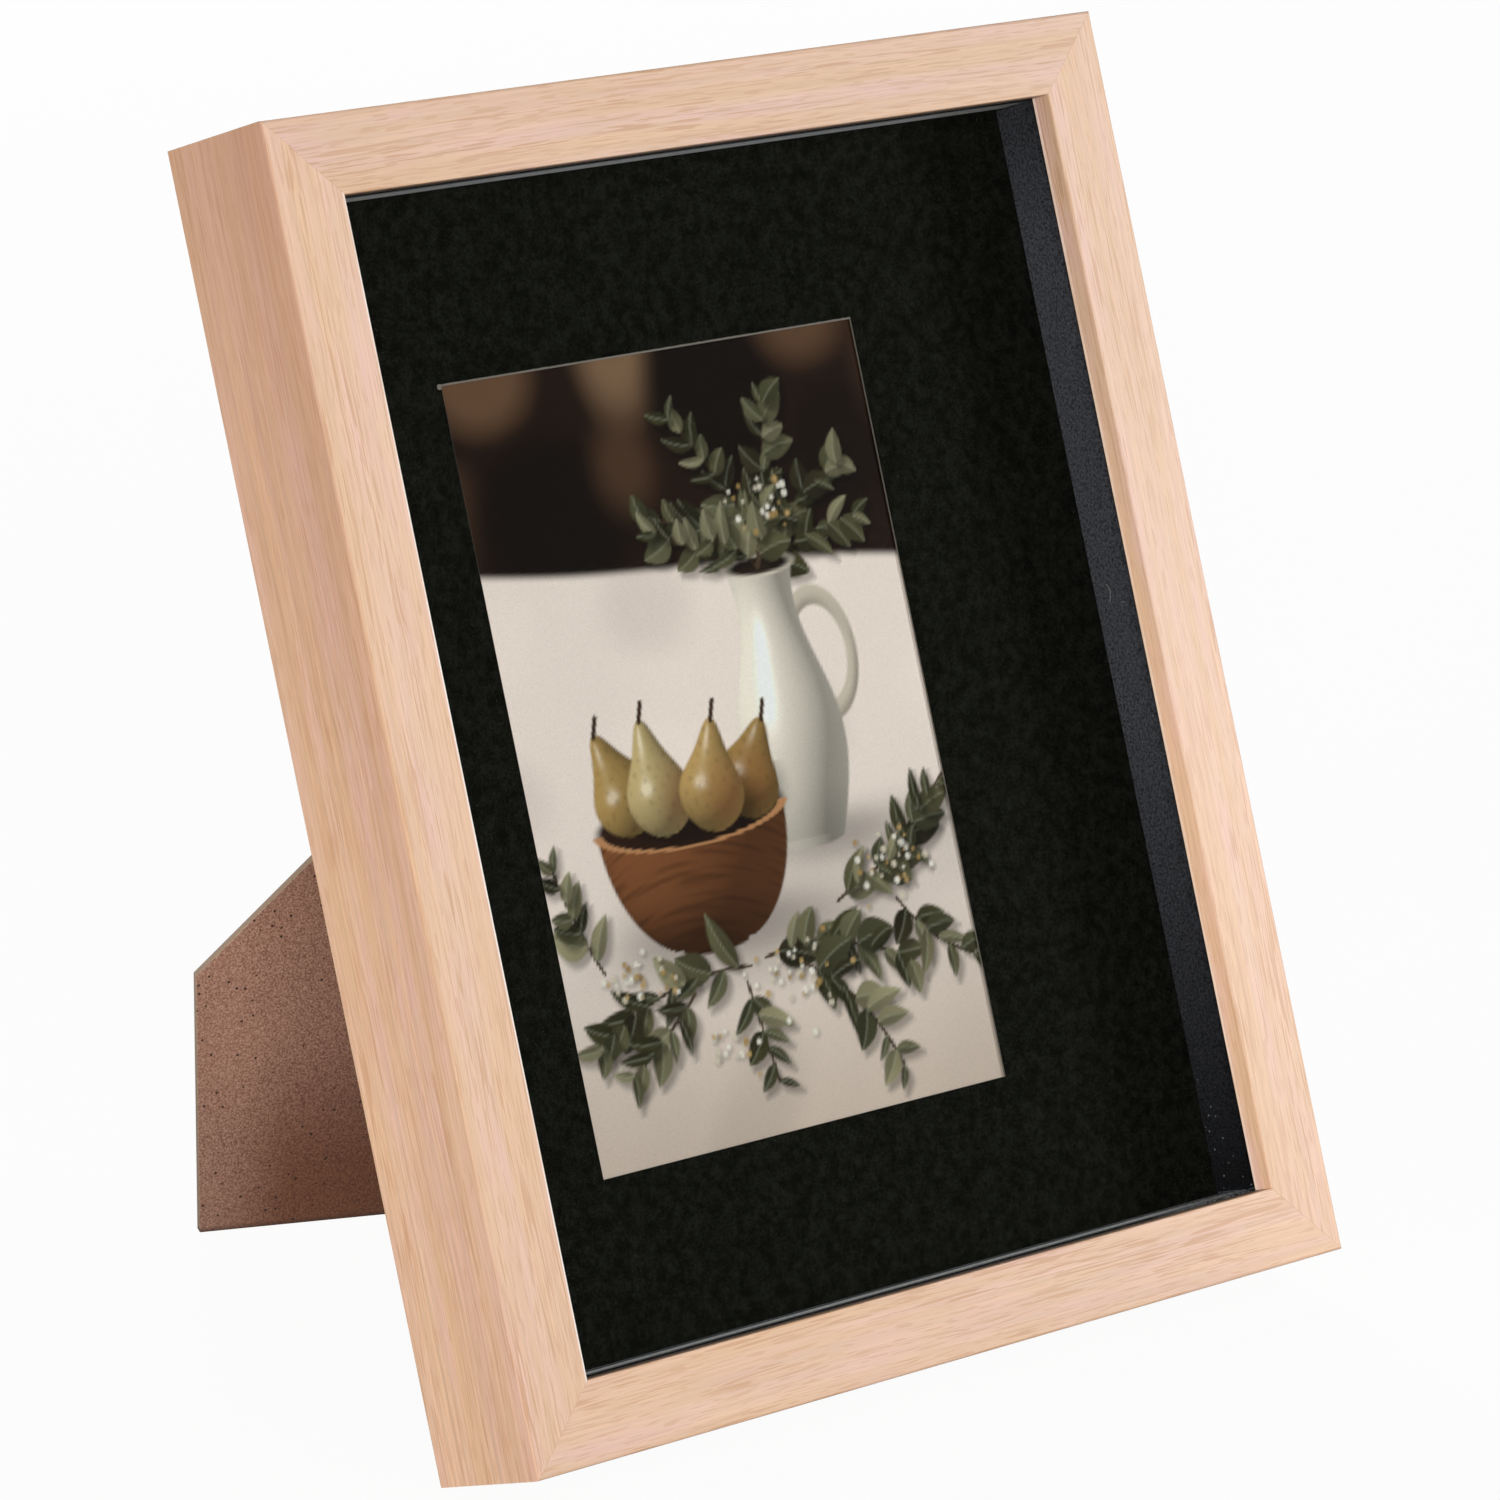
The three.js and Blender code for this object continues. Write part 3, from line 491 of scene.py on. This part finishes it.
for name, curl in lint_curls.items():
    curve = bpy.data.curves.new(name, "CURVE")
    curve.dimensions = "3D"
    curve.bevel_depth = lint_radius / 1000
    curve.bevel_resolution = 1
    curve.use_fill_caps = True
    line = curve.splines.new("NURBS")
    line.points.add(len(curl) - 1)
    line.use_endpoint_u = True
    for point, (depth, height) in zip(line.points, curl):
        point.co = (*(on_table @ Vector((opening_half_width - lint_radius, depth, height))), 1)
    curve.materials.append(lint_white)
    fibre = bpy.data.objects.new(name, curve)
    scene.collection.objects.link(fibre)
    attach(fibre, "frame")

# Mount
# A thin card faced with near-black uncoated paper. Its window is cut by hand: the cut shows the grey core,
# and the blade left a pale burr along the top and ran past the top left corner.
mount_play = 0.4
mount_half_width = glass_half_width + mount_play
mount_half_height = glass_half_height + mount_play
card_front = 17.9
card_thickness = 0.4
window_centre = Vector((-12.5, 0, -1.68))
window_half_width = 55.3
window_half_height = 82.48
cut_spread = 0.03
burr_width = 0.4
overcut_radius = 0.6
bm = bmesh.new()
bmesh.ops.create_cube(bm, size=2)
bmesh.ops.scale(bm, verts=bm.verts, vec=(mount_half_width, card_thickness / 2, mount_half_height))
for side in (-1, 1):
    for way, reach in ((Vector((1, 0, 0)), window_half_width), (Vector((0, 0, 1)), window_half_height)):
        everything = bm.verts[:] + bm.edges[:] + bm.faces[:]
        bmesh.ops.bisect_plane(bm, geom=everything, plane_co=window_centre + way * reach * side, plane_no=way)
opened = []
for face in bm.faces:
    middle = face.calc_center_median() - window_centre
    if abs(face.normal.y) > 0.9 and abs(middle.x) < window_half_width and abs(middle.z) < window_half_height:
        opened.append(face)
bmesh.ops.delete(bm, geom=opened, context="FACES")
window_edges = [edge for edge in bm.edges if edge.is_boundary]
bmesh.ops.bridge_loops(bm, edges=window_edges)
bmesh.ops.recalc_face_normals(bm, faces=bm.faces)
mount_mesh = bpy.data.meshes.new("window_mount")
bm.to_mesh(mount_mesh)
bm.free()
mount_mesh.transform(on_table @ Matrix.Translation((0, card_front + card_thickness / 2, 0)))

mount_card = new_material("black_mount_card")
tree = mount_card.node_tree
place = upright_place(tree)
clouds = add(tree, "ShaderNodeTexNoise", {"Vector": place, "Scale": 0.35, "Detail": 4.0}).outputs["Fac"]
fibre = add(tree, "ShaderNodeTexNoise", {"Vector": place, "Scale": 1.6, "Detail": 3.0}).outputs["Fac"]
tooth = add(tree, "ShaderNodeMath", {0: clouds, 1: fibre}, operation="MULTIPLY").outputs[0]
tooth_tone = add(tree, "ShaderNodeMapRange", {"Value": tooth, "From Min": 0.15, "From Max": 0.38}).outputs[0]
card_tone = add(tree, "ShaderNodeMix", {0: tooth_tone, 6: linear("#0d0e0a"), 7: linear("#1d1e19")},
                data_type="RGBA").outputs[2]
from_window = add(tree, "ShaderNodeVectorMath", {0: place, 1: window_centre}, operation="SUBTRACT").outputs[0]
off = add(tree, "ShaderNodeSeparateXYZ", {0: from_window}).outputs
between_sides = within(tree, off["X"], -window_half_width - cut_spread, window_half_width + cut_spread)
between_ends = within(tree, off["Z"], -window_half_height - cut_spread, window_half_height + cut_spread)
cut_face = add(tree, "ShaderNodeMath", {0: between_sides, 1: between_ends}, operation="MULTIPLY").outputs[0]
ragged = add(tree, "ShaderNodeTexNoise", {"Vector": place, "Scale": 0.9, "Detail": 2.0}).outputs["Fac"]
burr_top = add(tree, "ShaderNodeMapRange", {
    "Value": ragged, "To Min": window_half_height + burr_width * 0.55,
    "To Max": window_half_height + burr_width * 1.4,
}).outputs[0]
burr = within(tree, off["Z"], window_half_height - 1, burr_top)
burr = add(tree, "ShaderNodeMath", {0: burr, 1: between_sides}, operation="MULTIPLY").outputs[0]
overcut_place = (-window_half_width - 0.5, card_front, window_half_height - 0.1)
overcut = add(tree, "ShaderNodeVectorMath", {0: from_window, 1: overcut_place},
              operation="DISTANCE").outputs["Value"]
overcut = add(tree, "ShaderNodeMath", {0: overcut, 1: overcut_radius}, operation="LESS_THAN").outputs[0]
pale = add(tree, "ShaderNodeMath", {0: burr, 1: cut_face}, operation="MAXIMUM").outputs[0]
pale = add(tree, "ShaderNodeMath", {0: pale, 1: overcut}, operation="MAXIMUM").outputs[0]
card_tone = add(tree, "ShaderNodeMix", {0: pale, 6: card_tone, 7: linear("#7f7871")},
                data_type="RGBA").outputs[2]
card_relief = add(tree, "ShaderNodeBump", {"Height": fibre, "Strength": 0.4, "Distance": 0.00006}).outputs[0]
surface = add(tree, "ShaderNodeBsdfPrincipled", {
    "Base Color": card_tone, "Roughness": 1.0, "Specular IOR Level": 0.02, "Normal": card_relief,
})
add(tree, "ShaderNodeOutputMaterial", {"Surface": surface.outputs[0]})
mount_mesh.materials.append(mount_card)
window_mount = bpy.data.objects.new("window_mount", mount_mesh)
scene.collection.objects.link(window_mount)
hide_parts("mount_board")
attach(window_mount, "frame")

# Print
# A satin photo print of a plain still life: a cream jug with cut greenery beside a wooden bowl of pears, on
# a cream cloth before a dark room. It is painted by formula into a colour at each point of the sheet.
print_half_width = 63.5
print_half_height = 89.0
print_front = 18.33
print_thickness = 0.3
sample_pitch = 0.5


def blended(low, high, value):
    """Smooth step of value from 0 at low to 1 at high."""
    share = np.clip((value - low) / (high - low), 0, 1)
    return share * share * (3 - 2 * share)


def paint(picture, colour, share):
    picture += (np.array(linear(colour)[:3]) - picture) * share[:, None]


def shade(picture, factor, share):
    picture *= 1 - (1 - factor) * share[:, None]


def spot(x, z, centre, half_width, half_height, softness):
    """Share of a soft-edged ellipse that covers each point."""
    reach = np.hypot((x - centre[0]) / half_width, (z - centre[1]) / half_height)
    edge = softness / min(half_width, half_height)
    return 1 - blended(1 - edge, 1 + edge, reach)


def ripples(x, z, seed):
    """Soft irregular pattern from 0 to 1, a sum of eight waves."""
    draw = random.Random(seed)
    total = np.zeros(len(x))
    for _ in range(8):
        heading = draw.uniform(0, math.pi)
        run = x * math.cos(heading) + z * math.sin(heading)
        total += np.sin(run * draw.uniform(0.5, 1.6) + draw.uniform(0, 6.3))
    return 0.5 + total / 11


def turned(picture, x, z, foot, tilt, tall, half, tone, gloss, sag=0):
    """A round body, such as a jug or a pear, lit from the upper left. half gives its radius at heights from
    0 to 1, and sag is how far its foot bows down towards the viewer."""
    right = (x - foot[0]) * math.cos(tilt) - (z - foot[1]) * math.sin(tilt)
    up = (x - foot[0]) * math.sin(tilt) + (z - foot[1]) * math.cos(tilt)
    height = np.clip(up / tall, 0, 1)
    radius = np.maximum(half(height), 0.01)
    slope = (half(np.clip(height + 0.01, 0, 1)) - half(np.clip(height - 0.01, 0, 1))) / (0.02 * tall)
    side = np.clip(right / radius, -1, 1)
    steep = np.sqrt(1 + slope ** 2)
    facing = np.sqrt(1 - side ** 2)
    lamp_right, lamp_near, lamp_up = -0.62, 0.55, 0.55
    glint_right, glint_near, glint_up = -0.34, 0.9, 0.3
    lit = (lamp_right * side + lamp_near * facing - lamp_up * slope) / steep
    cover = blended(-0.35, 0.35, radius - abs(right)) * blended(-0.35, 0.35, up + sag * facing) * (up < tall)
    glint = np.clip((glint_right * side + glint_near * facing - glint_up * slope) / steep, 0, 1) ** 60
    light = 0.3 + 0.78 * np.clip(lit, 0, 1) + 0.1 * np.clip(side, 0, 1) ** 3
    colour = np.array(linear(tone)[:3]) * light[:, None] + gloss * glint[:, None]
    picture += (colour - picture) * cover[:, None]
    return cover


def paint_leaf(picture, x, z, foot, angle, length, width, colour, lit):
    """A pointed leaf with its shadow on what lies under it, a pale midrib and one half in shade."""
    for pass_name, right, down in (("shadow", 0.9, 1.3), ("leaf", 0, 0)):
        along = (x - right - foot[0]) * math.cos(angle) + (z + down - foot[1]) * math.sin(angle)
        aside = (z + down - foot[1]) * math.cos(angle) - (x - right - foot[0]) * math.sin(angle)
        aside = aside - 0.05 * length * np.sin(math.pi * np.clip(along / length, 0, 1))
        share_along = np.clip(along / length, 0, 1)
        half = width * np.sin(math.pi * share_along ** 0.75) ** 0.8
        if pass_name == "shadow":
            under = blended(-1.5, 0.9, half - abs(aside)) * (along > -0.5) * (along < length + 0.5)
            shade(picture, 0.5, under)
    cover = blended(-0.3, 0.35, half - abs(aside)) * (along > 0) * (along < length)
    paint(picture, colour, cover)
    picture *= 1 + cover[:, None] * (lit * (0.4 + 0.9 * share_along) - 0.2)[:, None]
    shade(picture, 0.62, cover * blended(-0.2, 0.5, -aside))
    paint(picture, "#aeb29c", cover * 0.22 * (1 - blended(0.05, 0.4, abs(aside))))


def paint_stem(picture, x, z, start, end, colour, thickness):
    run = np.array(end) - np.array(start)
    along = np.clip(((x - start[0]) * run[0] + (z - start[1]) * run[1]) / (run @ run), 0, 1)
    away = np.hypot(x - start[0] - along * run[0], z - start[1] - along * run[1])
    paint(picture, colour, 1 - blended(thickness * 0.5, thickness, away))


def paint_sprig(picture, x, z, draw, start, heading, length, count, leaf):
    """A bent twig with leaves in turn on its two sides, largest at the foot."""
    greens = ["#45442f", "#5c5a42", "#36341f", "#6f6b50", "#2e2a1a", "#837e62", "#524f37"]
    heading = math.radians(heading)
    bend = draw.uniform(-0.9, 0.9)
    last = start
    feet = []
    for _ in range(count):
        heading += bend / count
        step = length / count
        following = (last[0] + step * math.cos(heading), last[1] + step * math.sin(heading))
        paint_stem(picture, x, z, last, following, "#4b3a2b", 0.5)
        feet.append((following, heading))
        last = following
    for number, (foot, way) in enumerate(feet):
        side = 1 if number % 2 else -1
        for turn in (side, -side)[:draw.choice([1, 2])]:
            size = leaf * draw.uniform(0.7, 1.15) * (1.1 - 0.45 * number / count)
            angle = way + turn * draw.uniform(0.35, 1.15)
            paint_leaf(picture, x, z, foot, angle, size, size * draw.uniform(0.15, 0.36), draw.choice(greens),
                       draw.uniform(0.1, 0.7))


def still_life(x, z):
    """Linear colours of the picture at points given in millimetres from its centre."""
    draw = random.Random(23)
    picture = np.tile(np.array(linear("#1f120b")[:3]), (len(x), 1))
    # Dark room out of focus
    for centre, wide, high, colour, strength in [
        ((-46, 84), 13, 12, "#7a5a42", 0.75), ((-58, 56), 8, 9, "#4e3727", 0.7),
        ((-33, 52), 22, 17, "#0d0603", 0.95), ((-10, 86), 9, 15, "#96765a", 0.7),
        ((-13, 60), 7, 9, "#5c4230", 0.6), ((15, 74), 17, 20, "#0b0502", 0.95),
        ((41, 85), 11, 9, "#74553e", 0.65), ((47, 57), 16, 14, "#140b06", 0.85),
        ((60, 74), 6, 12, "#4a3324", 0.6),
    ]:
        paint(picture, colour, spot(x, z, centre, wide, high, 5) * strength)
    # Cream cloth, brightest in the middle, with slow folds
    far_edge = 37 - 0.11 * x + 1.1 * np.sin(x / 21)
    cloth = blended(-1.2, 1.2, far_edge - z)
    paint(picture, "#f9e9df", cloth)
    shade(picture, 0.74, cloth * blended(8, -98, z))
    paint(picture, "#c9ab8b", cloth * blended(-30, -90, z) * 0.3)
    folds = np.sin((x * 0.8 + z * 0.5) / 11 + 1.3 * np.sin(z / 26))
    folds += 0.6 * np.sin((x * 0.4 - z * 0.9) / 8 + x / 30)
    shade(picture, 0.86, cloth * blended(0.5, 1.6, folds))
    picture *= 1 + 0.03 * cloth[:, None] * blended(0.6, 1.5, -folds)[:, None]
    # Soft shadows that fall to the lower right
    for centre, wide, high, strength in [
        ((27, -25), 25, 6, 0.55), ((22, -24), 14, 4, 0.5), ((-2, -40), 34, 9, 0.6), ((-8, -38), 22, 5, 0.55),
    ]:
        shade(picture, 0.4, spot(x, z, centre, wide, high, high * 0.8) * cloth * strength)
    # Branches that stand in a jug, its handle, and the jug over their feet
    jug_middle, jug_foot, jug_height = 17, -24, 59
    handle_middle, handle_level = 29, 14
    for heading, length, count in [
        (128, 34, 9), (104, 40, 10), (78, 36, 10), (55, 34, 9), (36, 28, 8), (150, 26, 7),
    ]:
        paint_sprig(picture, x, z, draw, (jug_middle + draw.uniform(-3, 3), 33), heading, length, count, 9.5)
    ring = np.hypot((x - handle_middle) / 8.5, (z - handle_level) / 12.5)
    band = (ring - 1) * 9
    grip = (1 - blended(1.2, 1.9, abs(band))) * (x > 24)
    paint(picture, "#d2c5b5", grip)
    around = np.arctan2(z - handle_level, x - handle_middle)
    shade(picture, 0.45, grip * blended(-0.7, 1.8, band * np.cos(around + 0.8)))
    jug_curve = np.polyfit([0, 0.12, 0.36, 0.6, 0.78, 0.9, 1], [8.8, 11.6, 14.4, 11.4, 8.2, 7.9, 9.2], 6)

    def jug_half(height):
        return np.polyval(jug_curve, height)

    jug = turned(picture, x, z, (jug_middle, jug_foot), 0, jug_height, jug_half, "#fbf1e2", 0.3, 1.8)
    shade(picture, 0.6, jug * blended(-10, -26, z) * 0.8)
    paint(picture, "#e2d6c6", spot(x, z, (jug_middle, 34.6), 9.7, 2.5, 0.35))
    paint(picture, "#241a13", spot(x, z, (jug_middle + 0.2, 34.5), 8.5, 1.8, 0.4))
    for heading, length, count in [(120, 13, 4), (88, 15, 4), (60, 13, 4)]:
        paint_sprig(picture, x, z, draw, (jug_middle, 34), heading, length, count, 9)
    # Wooden bowl of pears
    rim_middle, rim_level, rim_half_width, rim_half_height = -14, -14, 25, 6
    bowl_height = 27
    paint(picture, "#2c1a10", spot(x, z, (rim_middle, rim_level), rim_half_width, rim_half_height, 0.4))

    def pear_half(height):
        waist = 0.74 - 0.36 * np.tanh(4.2 * (height - 0.56))
        return 9.0 * np.sqrt(np.clip(1 - (2 * height - 1) ** 2, 0, 1)) * waist

    for foot, tilt, tall, tone in [
        ((-27, -15), -0.35, 23, "#b39258"), ((-1, -16), 0.5, 22, "#a3824c"),
        ((-20, -17), -0.1, 25, "#c8b07c"), ((-9, -18), 0.22, 24, "#bc9a60"),
    ]:
        shade(picture, 0.45, spot(x, z, (foot[0] + 4, foot[1] + 5), 9, 8, 3) * (z < -6))
        pear = turned(picture, x, z, foot, tilt, tall, pear_half, tone, 0.3)
        shade(picture, 0.8, pear * blended(0.62, 0.9, ripples(x * 2.2, z * 2.2, 3)))
        paint(picture, "#8c4f2c", pear * spot(x, z, (foot[0] + 5, foot[1] + 8), 5, 6, 4) * 0.35)
        top = (foot[0] + tall * math.sin(tilt), foot[1] + tall * math.cos(tilt))
        paint_stem(picture, x, z, (top[0], top[1] - 0.6), (top[0] + 1.4, top[1] + 3.4), "#3b281b", 0.75)

    def bowl_half(height):
        return 9 + 16 * np.sin(0.5 * math.pi * height ** 0.62)

    aside = x - rim_middle
    front = rim_level - rim_half_height * np.sqrt(np.clip(1 - (aside / rim_half_width) ** 2, 0, 1))
    before = picture.copy()
    bowl_foot = (rim_middle, rim_level - bowl_height)
    bowl = turned(picture, x, z, bowl_foot, 0, bowl_height, bowl_half, "#8b5734", 0.06, 1.6)
    grain = ripples(x * 0.35, (z + 0.012 * aside ** 2) * 2.6, 8)
    shade(picture, 0.6, bowl * blended(0.45, 0.8, grain) * 0.8)
    shade(picture, 0.5, bowl * blended(-28, -42, z))
    picture[:] = before + (picture - before) * blended(-0.35, 0.35, front - z)[:, None]
    rim = np.hypot(aside / rim_half_width, (z - rim_level) / rim_half_height)
    brim = (1 - blended(0.5, 0.95, abs(rim - 1) * 14)) * (z < rim_level)
    paint(picture, "#c08a5c", brim * 0.9)
    # Loose branches along the front of the cloth
    for start, heading, length, count, leaf in [
        ((-6, -47), 172, 44, 12, 11), ((-2, -46), 12, 40, 11, 11), ((34, -36), 48, 30, 8, 10),
        ((-44, -42), 118, 24, 7, 9), ((8, -49), -28, 34, 9, 10.5), ((-22, -50), -140, 24, 7, 9.5),
        ((36, -40), -62, 24, 7, 9), ((-8, -50), -82, 22, 6, 9), ((20, -38), 26, 24, 7, 9),
    ]:
        paint_sprig(picture, x, z, draw, start, heading, length, count, leaf)
    # Small cream buds and ochre seed heads among the leaves
    for cluster, wide, count in [
        ((-36, -44), 5, 34), ((6, -51), 6, 40), ((37, -33), 5, 34), ((20, 48), 6, 30), ((-14, -62), 4, 18),
    ]:
        for _ in range(count):
            centre = (draw.gauss(cluster[0], wide), draw.gauss(cluster[1], wide * 0.7))
            size = draw.uniform(0.35, 0.8)
            under = (centre[0] + 0.4, centre[1] - 0.5)
            shade(picture, 0.6, spot(x, z, under, size + 0.4, size + 0.4, 0.4) * 0.6)
            tone = draw.choice(["#efe9dc", "#f7f2e6", "#d9cdb8", "#a98a55", "#c2a36c"])
            paint(picture, tone, spot(x, z, centre, size, size, 0.3) * 0.9)
    # The lens lets the corners fall off a little
    shade(picture, 0.88, blended(55, 112, np.hypot(x, z)))
    return np.clip(picture, 0, 1)


bm = bmesh.new()
columns = round(2 * print_half_width / sample_pitch)
rows = round(2 * print_half_height / sample_pitch)
bmesh.ops.create_grid(bm, x_segments=columns, y_segments=rows, size=1)
bmesh.ops.scale(bm, verts=bm.verts, vec=(print_half_width, print_half_height, 1))
bmesh.ops.rotate(bm, verts=bm.verts, cent=(0, 0, 0), matrix=Matrix.Rotation(math.pi / 2, 3, "X"))
rim_edges = [edge for edge in bm.edges if edge.is_boundary]
skirt = bmesh.ops.extrude_edge_only(bm, edges=rim_edges)["geom"]
skirt_corners = [item for item in skirt if isinstance(item, bmesh.types.BMVert)]
bmesh.ops.translate(bm, verts=skirt_corners, vec=(0, print_thickness, 0))
back_edges = [item for item in skirt if isinstance(item, bmesh.types.BMEdge) and item.is_boundary]
bmesh.ops.contextual_create(bm, geom=back_edges)
bmesh.ops.recalc_face_normals(bm, faces=bm.faces)
print_mesh = bpy.data.meshes.new("still_life_print")
bm.to_mesh(print_mesh)
bm.free()
points = np.empty(len(print_mesh.vertices) * 3)
print_mesh.vertices.foreach_get("co", points)
points = points.reshape(-1, 3)
colours = np.ones((len(points), 4))
colours[:, :3] = still_life(points[:, 0], points[:, 2])
picture_layer = print_mesh.color_attributes.new("picture", "FLOAT_COLOR", "POINT")
picture_layer.data.foreach_set("color", colours.ravel())
print_mesh.transform(on_table @ Matrix.Translation(window_centre + Vector((0, print_front, 0))))

photo_paper = new_material("satin_photo_paper")
tree = photo_paper.node_tree
picture = add(tree, "ShaderNodeAttribute", attribute_name="picture").outputs["Color"]
here = add(tree, "ShaderNodeTexCoord").outputs["Object"]
film_grain = add(tree, "ShaderNodeTexNoise", {"Vector": here, "Scale": 3500.0, "Detail": 1.0}).outputs["Fac"]
film_grain = add(tree, "ShaderNodeMapRange", {
    "Value": film_grain, "From Min": 0.3, "From Max": 0.7, "To Min": 0.94, "To Max": 1.06,
}).outputs[0]
picture = add(tree, "ShaderNodeVectorMath", {0: picture, "Scale": film_grain}, operation="SCALE").outputs[0]
surface = add(tree, "ShaderNodeBsdfPrincipled", {
    "Base Color": picture, "Roughness": 0.6, "Specular IOR Level": 0.03,
})
add(tree, "ShaderNodeOutputMaterial", {"Surface": surface.outputs[0]})
print_mesh.materials.append(photo_paper)
still_life_print = bpy.data.objects.new("still_life_print", print_mesh)
scene.collection.objects.link(still_life_print)
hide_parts("photo_print")
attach(still_life_print, "frame")

# Backboard and strut
# Both are hardboard: brown pressed wood fibre with a smooth face, speckled with dark bark and pale fibres.
# The sawn edges are rougher, and paler where the saw broke the skin.
def hardboard(name, face_normal, dark, mid, light, painted_frame_shadow=False):
    """Pressed wood fibre whose broad faces look along face_normal. With the last argument set, a painted
    shadow of the frame darkens the inner face, low and to the right."""
    material = new_material(name)
    tree = material.node_tree
    coords = add(tree, "ShaderNodeTexCoord").outputs
    place = add(tree, "ShaderNodeMapping", {
        "Vector": coords["Object"], "Scale": (1000, 1000, 1000),
    }).outputs[0]
    clouds = add(tree, "ShaderNodeTexNoise", {"Vector": place, "Scale": 0.045, "Detail": 3.0}).outputs["Fac"]
    clouds = add(tree, "ShaderNodeMapRange", {"Value": clouds, "From Min": 0.35, "From Max": 0.65}).outputs[0]
    fibres = add(tree, "ShaderNodeTexNoise", {
        "Vector": place, "Scale": 2.1, "Detail": 2.0, "Roughness": 0.8,
    }).outputs["Fac"]
    fibre_tone = add(tree, "ShaderNodeMapRange", {
        "Value": fibres, "From Min": 0.38, "From Max": 0.64,
    }).outputs[0]
    board = add(tree, "ShaderNodeMix", {0: clouds, 6: linear(dark), 7: linear(mid)},
                data_type="RGBA").outputs[2]
    board = add(tree, "ShaderNodeMix", {0: fibre_tone, 6: board, 7: linear(light)},
                data_type="RGBA").outputs[2]
    fleck = add(tree, "ShaderNodeTexVoronoi", {"Vector": place, "Scale": 0.5})
    fleck_size = add(tree, "ShaderNodeMapRange", {
        "Value": fleck.outputs["Distance"], "From Min": 0.13, "From Max": 0.2, "To Min": 1.0, "To Max": 0.0,
    }).outputs[0]
    rare = add(tree, "ShaderNodeSeparateColor", {0: fleck.outputs["Color"]}).outputs[0]
    rare = add(tree, "ShaderNodeMath", {0: rare, 1: 0.7}, operation="GREATER_THAN").outputs[0]
    bark = add(tree, "ShaderNodeMath", {0: fleck_size, 1: rare}, operation="MULTIPLY").outputs[0]
    board = add(tree, "ShaderNodeMix", {0: bark, 6: board, 7: linear("#3d261a")}, data_type="RGBA").outputs[2]
    along_normal = add(tree, "ShaderNodeVectorMath", {
        0: coords["Normal"], 1: face_normal,
    }, operation="DOT_PRODUCT").outputs["Value"]
    facing = add(tree, "ShaderNodeMath", {0: along_normal}, operation="ABSOLUTE").outputs[0]
    sawn = add(tree, "ShaderNodeMath", {0: facing, 1: 0.6}, operation="LESS_THAN").outputs[0]
    sawdust = add(tree, "ShaderNodeMix", {0: fibres, 6: linear("#93806f"), 7: linear("#c4ae98")},
                  data_type="RGBA").outputs[2]
    board = add(tree, "ShaderNodeMix", {0: sawn, 6: board, 7: sawdust}, data_type="RGBA").outputs[2]
    at = add(tree, "ShaderNodeSeparateXYZ", {0: place}).outputs
    # Painted shade: both boards grow darker towards the table over their lowest 75 mm
    painted_low_shade = add(tree, "ShaderNodeMapRange", {
        "Value": at["Z"], "From Min": 0, "From Max": 75, "To Min": 0.68, "To Max": 1.0,
    }).outputs[0]
    board = add(tree, "ShaderNodeVectorMath", {0: board, "Scale": painted_low_shade}, operation="SCALE").outputs[0]
    # Painted shadow of the frame on the strut's inner face, low and to the right
    if painted_frame_shadow:
        to_right = add(tree, "ShaderNodeMapRange", {
            "Value": at["X"], "From Min": -67, "From Max": -46,
        }, interpolation_type="SMOOTHSTEP").outputs[0]
        downward = add(tree, "ShaderNodeMapRange", {
            "Value": at["Z"], "From Min": 55, "From Max": 8,
        }, interpolation_type="SMOOTHSTEP").outputs[0]
        inner = add(tree, "ShaderNodeMath", {0: along_normal, 1: -0.5}, operation="LESS_THAN").outputs[0]
        frame_shadow_mask = add(tree, "ShaderNodeMath", {0: to_right, 1: downward}, operation="MULTIPLY").outputs[0]
        frame_shadow_mask = add(tree, "ShaderNodeMath", {0: frame_shadow_mask, 1: inner}, operation="MULTIPLY").outputs[0]
        shadow_tone = add(tree, "ShaderNodeVectorMath", {0: board, 1: (0.48, 0.35, 0.25)},
                      operation="MULTIPLY").outputs[0]
        board = add(tree, "ShaderNodeMix", {0: frame_shadow_mask, 6: board, 7: shadow_tone}, data_type="RGBA").outputs[2]
    # Painted contact shade: a dark band along the lowest millimetre and a half, where the boards meet the
    # table
    foot = add(tree, "ShaderNodeMapRange", {
        "Value": at["Z"], "From Min": 0.4, "From Max": 1.4, "To Min": 0.75, "To Max": 0.0,
    }).outputs[0]
    board = add(tree, "ShaderNodeMix", {0: foot, 6: board, 7: linear("#3d251b")}, data_type="RGBA").outputs[2]
    rough = add(tree, "ShaderNodeMapRange", {"Value": sawn, "To Min": 0.62, "To Max": 0.95}).outputs[0]
    pits = add(tree, "ShaderNodeBump", {"Height": fibres, "Strength": 0.3, "Distance": 0.0001}).outputs[0]
    surface = add(tree, "ShaderNodeBsdfPrincipled", {
        "Base Color": board, "Roughness": rough, "Specular IOR Level": 0.3, "Normal": pits,
    })
    add(tree, "ShaderNodeOutputMaterial", {"Surface": surface.outputs[0]})
    return material


back_normal = straighten @ Vector((0, 1, 0))
strut_normal = Vector((0.334322, 0.931308, 0.144552))
finish_nodes(["backboard"], hardboard("hardboard_backing", back_normal, "#83604a", "#8f6b55", "#ab8770"))
strut_finish = hardboard("hardboard_strut", strut_normal, "#7f5646", "#8d624f", "#c69d88", painted_frame_shadow=True)
finish_nodes(["strut_board"], strut_finish)
ease_edges(["strut_board"], 0.0002)
